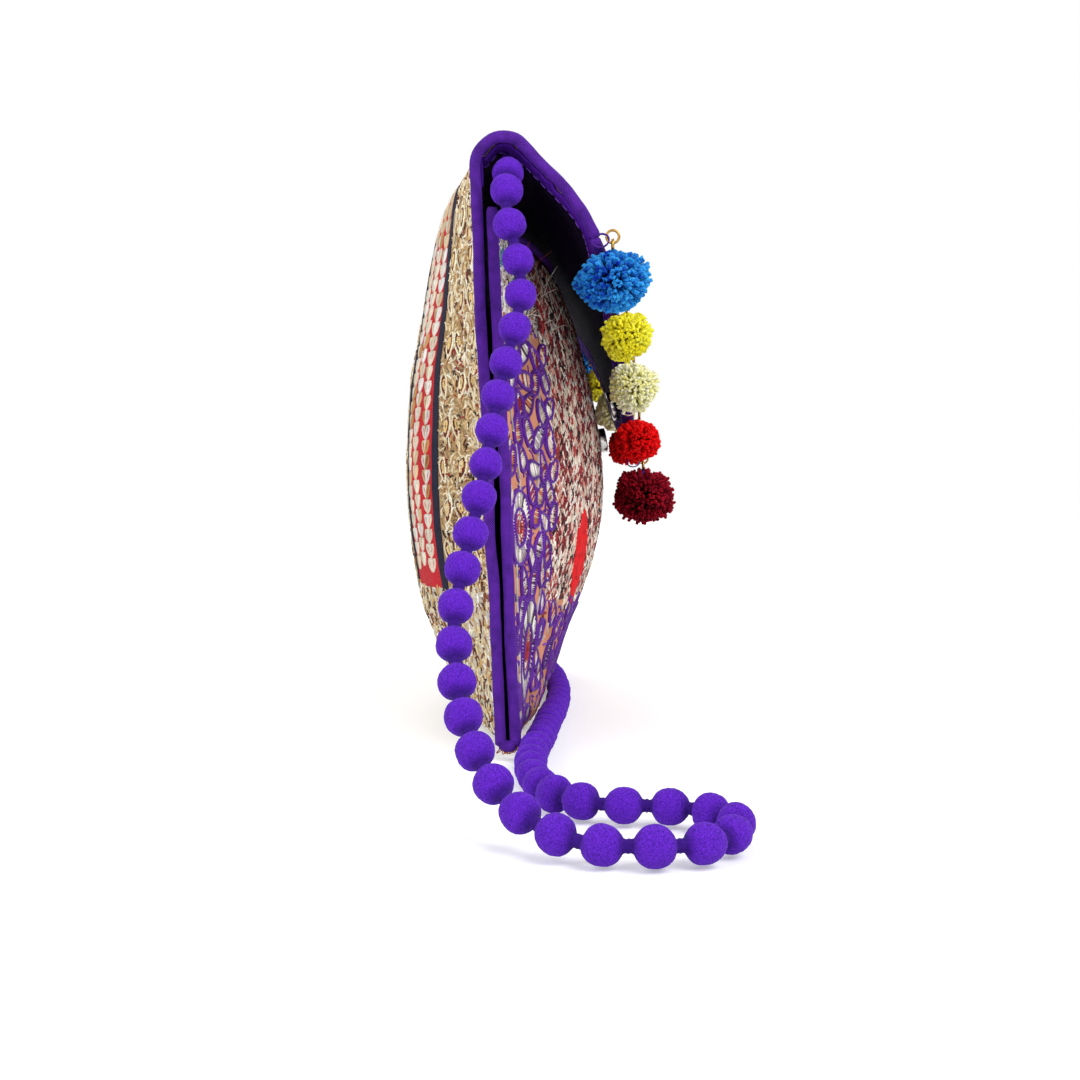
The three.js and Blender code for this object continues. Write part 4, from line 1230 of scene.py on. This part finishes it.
def pompom(number, kind, radii, count, dark, light, seed):
    """Strands of wool round a core, below the ring that the pompom hangs from."""
    dice = np.random.default_rng(seed)
    middle = middle_of(f"pompom_{number}")
    k = np.arange(count) + 0.5
    polar, spin = np.arccos(1 - 2 * k / count), math.pi * (1 + 5**0.5) * k
    ray = np.stack([np.cos(spin) * np.sin(polar), np.sin(spin) * np.sin(polar), np.cos(polar)], axis=-1)
    ray += dice.normal(0, 0.10, ray.shape)
    clump = np.sin(ray @ dice.normal(0, 3.2, (3, 3)) + dice.uniform(0, 6, 3))
    ray += 0.13 * clump
    ray /= np.linalg.norm(ray, axis=1, keepdims=True)
    ragged = 1 + 0.05 * clump.sum(axis=1) + dice.normal(0, 0.042, count)
    tip = middle + ray * np.asarray(radii) * ragged[:, None]
    root = middle + ray * 0.42 * np.asarray(radii)
    sideways = np.cross(ray, dice.normal(0, 1, ray.shape))
    sideways /= np.linalg.norm(sideways, axis=1, keepdims=True)
    other = np.cross(ray, sideways)
    bend = sideways * dice.normal(0, 0.7, (count, 1))
    tip, bend = keep_clear(number, root, tip, bend)
    rings, around = [], np.array([0, 2, 4]) * math.pi / 3
    for share, wide in ((0.0, 0.35), (0.55, 0.66), (0.95, 0.78)):
        centre = root + (tip - root) * share + bend * share**2
        rings.append(rings_along(centre, sideways, other, around, wide))
    verts = np.concatenate([np.stack(rings, axis=1).reshape(count, 9, 3), (tip + bend)[:, None]], axis=1)
    index = np.arange(count * 10).reshape(count, 10)
    faces = []
    for r in (0, 3):
        for c in range(3):
            d = (c + 1) % 3
            corners = index[:, r + c], index[:, r + d], index[:, r + 3 + d], index[:, r + 3 + c]
            faces.append(np.stack(corners, axis=-1))
    quads = np.concatenate(faces).tolist()
    ends = [np.stack([index[:, 6 + c], index[:, 6 + (c + 1) % 3], index[:, 9]], axis=-1) for c in range(3)]
    ends = np.concatenate(ends + [index[:, [2, 1, 0]]]).tolist()
    turns, levels = np.linspace(0, 2 * math.pi, 18, endpoint=False), np.linspace(0.08, math.pi - 0.08, 11)
    wide, height = np.sin(levels)[:, None], np.cos(levels)[:, None]
    bound = np.stack(np.broadcast_arrays(np.cos(turns) * wide, np.sin(turns) * wide, height), axis=-1)
    lumps = 1 + 0.04 * np.sin(9 * turns)[None, :, None]
    core = (middle + 0.62 * np.asarray(radii) * bound * lumps).reshape(-1, 3)
    core_faces = [face[::-1] for face in ring_faces(len(levels), len(turns), count * 10)]
    piece = mesh_object(
        f"pompom_{number}_wool", np.concatenate([verts.reshape(-1, 3), core]), quads + ends + core_faces,
        f"pompom_{number}_hang", [f"pompom_{number}"])
    # painted shade and highlight: strands darker at the root and slightly lighter at the tip
    shade = np.array([0.72] * 3 + [0.95] * 3 + [1.0] * 3 + [1.05])
    mix = np.clip(dice.beta(2, 2, count) + 0.2 * clump[:, 0], 0, 1)[:, None]
    dyed = np.array(srgb(*dark)) * (1 - mix) + np.array(srgb(*light)) * mix
    strand_dye = np.clip(dyed[:, None] * shade[None, :, None], 0, 1).reshape(-1, 3)
    # painted shade: the core takes the dark wool colour at 0.6, as the shade deep in the ball
    paint(piece, "wool", np.concatenate([strand_dye, np.tile(np.array(srgb(*dark)) * 0.6, (len(core), 1))]))
    piece.data.materials.append(wool.material)


wool = Finish(
    "wool_strands", Roughness=0.9, Specular_IOR_Level=0.1, Subsurface_Weight=0.5, Subsurface_Scale=0.002,
    Subsurface_Radius=(1.0, 1.0, 1.0),
)
wool.colour(wool.add("Attribute", attribute_name="wool").outputs["Color"])
spot = wool.add("TexCoord").outputs["Object"]
fibres = {"Scale": 420.0, "Distortion": 4.0, "Detail": 2.0}
ply = wool.add("TexWave", {"Vector": spot}, fibres, bands_direction="DIAGONAL")
wool.bump(ply.outputs["Fac"], 0.5, 0.0004)

kinds = [
    ("blue_wool", (11.6, 11.4, 9.4), 1000, (6, 40, 150), (44, 160, 245)),
    ("yellow_wool", (8.4, 8.3, 8.2), 800, (255, 232, 20), (255, 252, 60)),
    ("cream_wool", (9.2, 9.0, 8.8), 860, (255, 246, 130), (255, 255, 215)),
    ("red_wool", (8.6, 8.4, 7.8), 800, (225, 4, 8), (255, 14, 14)),
    ("maroon_wool", (12.9, 12.6, 11.0), 1050, (62, 0, 10), (150, 8, 26)),
]
for number in pompoms:
    from_corner = min(number - pompoms[0], pompoms[-1] - number)
    pompom(number, *kinds[from_corner], 40 + number)
print("nine pompoms")

# %% [markdown]
# ## Rings and closing
# The pompoms hang on brass jump rings. A jump ring is a wire bent round until its ends meet, so it is a
# torus with a narrow slit, modelled once and copied. The closing is a nickel stud on the front panel and
# a socket under the flap, both turned from a cylinder.

# %% Jump ring, once
def metal_finish(name, rough, grain, dark, light):
    f = Finish(name, Metallic=1.0, Roughness=rough)
    spot = f.add("TexCoord").outputs["Object"]
    dull = f.add("TexNoise", {"Vector": spot}, {"Scale": grain, "Detail": 2.0})
    tones = {"Color1": srgb(*dark), "Color2": srgb(*light)}
    f.colour(f.add("MixRGB", {"Fac": dull.outputs["Fac"]}, tones).outputs[0])
    return f.material


brass = metal_finish("brass", 0.24, 900.0, (132, 92, 40), (208, 166, 88))
bpy.ops.object.select_all(action="DESELECT")
bpy.ops.mesh.primitive_torus_add(
    major_radius=2.0 * MM, minor_radius=0.42 * MM, major_segments=40, minor_segments=10,
)
ring_model = bpy.context.object
bpy.ops.object.mode_set(mode="EDIT")
bm = bmesh.from_edit_mesh(ring_model.data)
for face in bm.faces:
    c = face.calc_center_median()
    face.select_set(abs(math.atan2(c.y, c.x) - 0.08) < 0.08)
bmesh.update_edit_mesh(ring_model.data)
bpy.ops.mesh.delete(type="FACE")
bpy.ops.mesh.select_all(action="DESELECT")
bpy.ops.mesh.select_non_manifold()
bpy.ops.mesh.edge_face_add()
bpy.ops.mesh.select_all(action="SELECT")
bpy.ops.mesh.normals_make_consistent(inside=False)
bpy.ops.object.mode_set(mode="OBJECT")
bpy.ops.object.shade_smooth_by_angle(angle=0.8)
print("ring faces", len(ring_model.data.polygons))

# %% Rings in place
turn_up = Matrix.Rotation(math.pi / 2, 4, "Y")
turn_low = Matrix.Rotation(math.pi / 2, 4, "X")
for number in pompoms:
    for which, turn, body in (("upper", turn_up, "bag"), ("lower", turn_low, f"pompom_{number}_hang")):
        low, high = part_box(f"pompom_{number}_{which}_ring")
        ring = bpy.data.objects.new(f"pompom_{number}_{which}_jump_ring", ring_model.data.copy())
        bpy.context.scene.collection.objects.link(ring)
        spin = Matrix.Rotation(0.9 + 0.7 * number, 4, "Z")
        ring.data.transform(Matrix.Translation((low + high) / 2) @ turn @ spin)
        ring.data.materials.append(brass)
        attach(ring, body)
        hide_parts(f"pompom_{number}_{which}_ring")
bpy.data.objects.remove(ring_model)
print("eighteen rings")

# %% [markdown]
# The stud starts as a low cylinder: its top face is set in and pushed in for a dimple, and its edges are
# rounded. The socket is the same, with a deeper hollow. Each is turned to the cloth that it sits on.

# %% Stud and socket
def turned_button(name, node, radius, height, hollow, direction):
    """A nickel button that is turned from a cylinder, with its face towards a direction."""
    bpy.ops.object.select_all(action="DESELECT")
    bpy.ops.mesh.primitive_cylinder_add(vertices=40, radius=radius * MM, depth=height * MM)
    button = bpy.context.object
    button.name = name
    bpy.ops.object.mode_set(mode="EDIT")
    bpy.ops.mesh.select_all(action="DESELECT")
    bm = bmesh.from_edit_mesh(button.data)
    for face in bm.faces:
        face.select_set(face.normal.z > 0.9)
    bmesh.update_edit_mesh(button.data)
    bpy.ops.mesh.inset(thickness=0.28 * radius * MM)
    bpy.ops.transform.translate(value=(0, 0, 0.12 * height * MM))
    bpy.ops.mesh.inset(thickness=0.22 * radius * MM)
    bpy.ops.transform.translate(value=(0, 0, -hollow * MM))
    bpy.ops.mesh.select_all(action="SELECT")
    bpy.ops.mesh.bevel(offset=0.22 * MM, segments=3)
    bpy.ops.object.mode_set(mode="OBJECT")
    low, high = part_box(node)
    turn = Vector(direction).to_track_quat("Z", "Y").to_matrix().to_4x4()
    button.data.transform(Matrix.Translation((low + high) / 2) @ turn)
    button.location = (0, 0, 0)
    bpy.ops.object.shade_smooth_by_angle(angle=0.6)
    button.data.materials.append(nickel)
    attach(button, "bag")
    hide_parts(node)
    print(name, len(button.data.polygons), "faces")


nickel = metal_finish("nickel", 0.22, 700.0, (150, 148, 144), (226, 224, 220))
stud_out = front.at(np.array([0.0]), np.array([front.along_at(0, 108)]))[1][0]
socket_out = -back.at(np.array([0.0]), np.array([back.fold + 100]))[1][0]
turned_button("closing_stud_button", "closing_stud", 5.0, 3.0, 0.5, stud_out)
turned_button("closing_socket_button", "closing_socket", 6.0, 2.1, 0.9, socket_out)

# %% [markdown]
# The strap's ends are sewn into two small tabs of folded cord cloth inside the upper corners. A tab is a
# block that is cut into a finer grid, rounded at its edges and pinched at the middle, where thread goes
# round it.

# %% Strap tabs
for side_name in ("left", "right"):
    low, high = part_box(f"strap_tab_{side_name}")
    bpy.ops.object.select_all(action="DESELECT")
    bpy.ops.mesh.primitive_cube_add(size=1)
    tab = bpy.context.object
    tab.name = f"strap_tab_{side_name}_cloth"
    bpy.ops.object.mode_set(mode="EDIT")
    bpy.ops.mesh.select_all(action="SELECT")
    bpy.ops.transform.resize(value=tuple(high - low))
    bpy.ops.mesh.bevel(offset=0.7 * MM, segments=3)
    bpy.ops.mesh.subdivide(number_cuts=3)
    bpy.ops.object.mode_set(mode="OBJECT")
    for vertex in tab.data.vertices:
        share = vertex.co.z / (high.z - low.z)
        pinch = 1 - 0.16 * math.exp(-((share / 0.12) ** 2))
        vertex.co.x *= pinch + 0.02 * math.sin(9 * share)
        vertex.co.y *= pinch
    tab.data.transform(Matrix.Translation((low + high) / 2))
    tab.location = (0, 0, 0)
    bpy.ops.object.shade_smooth()
    flat = tab.data.uv_layers.new(name="cover")
    for loop in tab.data.loops:
        spot = tab.data.vertices[loop.vertex_index].co
        flat.data[loop.index].uv = (spot.z, spot.x + spot.y)
    tab.data.materials.append(cover.material)
    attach(tab, "bag")
    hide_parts(f"strap_tab_{side_name}")
print("two tabs")

# %% [markdown]
# ## Loose and binding thread
# Thread ties each upper ring to the flap's cord and each pompom to its lower ring. Running stitches hold
# the facing inside the flap. A tuft of copper thread hangs out where the cords turn at the bottom corner,
# and some pale ends stick out of the front. All of these are fine closed tubes.

# %% Fine thread
def fine_thread(name, runs, radius, colours, body="bag", sides=5):
    """Closed tubes along runs of points, as one mesh with a colour for each run."""
    verts, faces, dyes = [], [], []
    for run, colour in zip(runs, colours):
        run = np.asarray(run, float)
        _, across, over = frames_along(run)
        angle = np.linspace(0, 2 * math.pi, sides, endpoint=False)
        ring = rings_along(run, across, over, angle, radius)
        faces += ring_faces(len(run), sides, sum(len(v) for v in verts))
        verts.append(ring.reshape(-1, 3))
        dyes.append(np.tile(colour, (len(run) * sides, 1)))
    piece = mesh_object(name, np.concatenate(verts), faces, body)
    paint(piece, "thread", np.concatenate(dyes))
    piece.data.materials.append(silk)


for number in pompoms:
    pivot = pivots[f"pompom_{number}_swing"]
    dye = [srgb(78, 26, 140) if number % 2 else srgb(226, 206, 176)]
    fine_thread(f"pompom_{number}_ring_tie", [ring_tie(number)], 0.24, dye)
    top = pivot + (0, 0, -5.0)
    middle = middle_of(f"pompom_{number}")
    hang = np.linspace(0, 1, 10)[:, None]
    strands = []
    for spin in (0, 2.1, 4.2):
        side_step = 0.55 * np.array([math.cos(spin), math.sin(spin), 0])
        strands.append(top + (middle - top) * hang + side_step * np.sin(hang * math.pi))
    down = np.linspace(0.5, -1.2, len(tie_turns))
    knot = top + np.stack([0.55 * np.cos(tie_turns), 0.55 * np.sin(tie_turns), down], axis=-1)
    fine_thread(f"pompom_{number}_tie", strands + [knot], 0.26, dye * 4, f"pompom_{number}_hang")
print("ties on nine pompoms")

# %% Facing stitches, tuft and loose ends
inward = -back.normal[:, shoulder_row:]
face_of_lining = flap_inner + inward * 0.12
runs = []
for column in (5, columns - 6):
    line = face_of_lining[column, 6:]
    for s in np.arange(2, run_of(line)[-1] - 12, 3.4):
        runs.append(at_length(line, s + np.linspace(0, 2.2, 4)))
rows = np.arange(flap_inner.shape[1], dtype=float)
first_flap_row = fold_row - shoulder_row
edge_line = []
for column in range(5, columns - 5):
    share = 1 - facing_width * slope / flap_lengths[column]
    row = first_flap_row + share * (rows[-1] - first_flap_row)
    edge_line.append([np.interp(row, rows, face_of_lining[column, :, k]) for k in range(3)])
edge_line = np.array(edge_line)
for s in np.arange(1, run_of(edge_line)[-1] - 3, 3.4):
    runs.append(at_length(edge_line, s + np.linspace(0, 2.2, 4)))
fine_thread("flap_facing_stitches", runs, 0.22, [srgb(140, 92, 214)] * len(runs))

tuft, tuft_dye = [], []
for sign in (-1, 1):
    foot = np.array([sign * (cord_x - 0.4), turn_centre[0], 4.6])
    for _ in range(26):
        wide, drop = rng.normal(0, 1.3, 3), rng.uniform(1.6, 3.4)
        phi = np.linspace(0, math.pi, 9)
        aside = 0.3 * wide[0] * np.sin(phi) + sign * 0.9
        deep = 1.7 * wide[1] * np.sin(phi) + 0.8 * wide[2] * np.cos(phi)
        arc = foot + np.stack([aside, deep, 0.8 - drop * np.sin(phi)], axis=-1)
        arc[:, 2] = np.maximum(arc[:, 2], 0.35)
        tuft.append(arc)
        tuft_dye.append(srgb(*((176, 84, 40), (128, 52, 30), (214, 140, 84))[rng.integers(3)]))
fine_thread("bottom_corner_tufts", tuft, 0.17, tuft_dye)

ends, end_dye = [], []
for sign in (-1, 1):
    for _ in range(34):
        e, z = rng.uniform(16, 60), rng.uniform(136, 166)
        x = sign * (cloth_end - e)
        root, out = front.at(np.array([x]), np.array([front.along_at(x, z)]))
        t = np.linspace(0, 1, 10)[:, None]
        reach, curl = rng.uniform(3, 9), rng.normal(0, 2.2, 3)
        outward = out[0] * (t * reach * 0.45 - 0.2)
        upward = (0, 0, 1) * t * reach * 0.6
        ends.append(root[0] + outward + upward + t**2 * curl)
        end_dye.append(srgb(*((244, 234, 214), (214, 190, 160), (150, 60, 50))[rng.integers(3)]))
fine_thread("loose_ends", ends, 0.13, end_dye)
print("stitches", len(runs), "tuft loops", len(tuft), "ends", len(ends))

# %% [markdown]
# ## Size
# The box round every piece that renders, without the floor.

low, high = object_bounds()
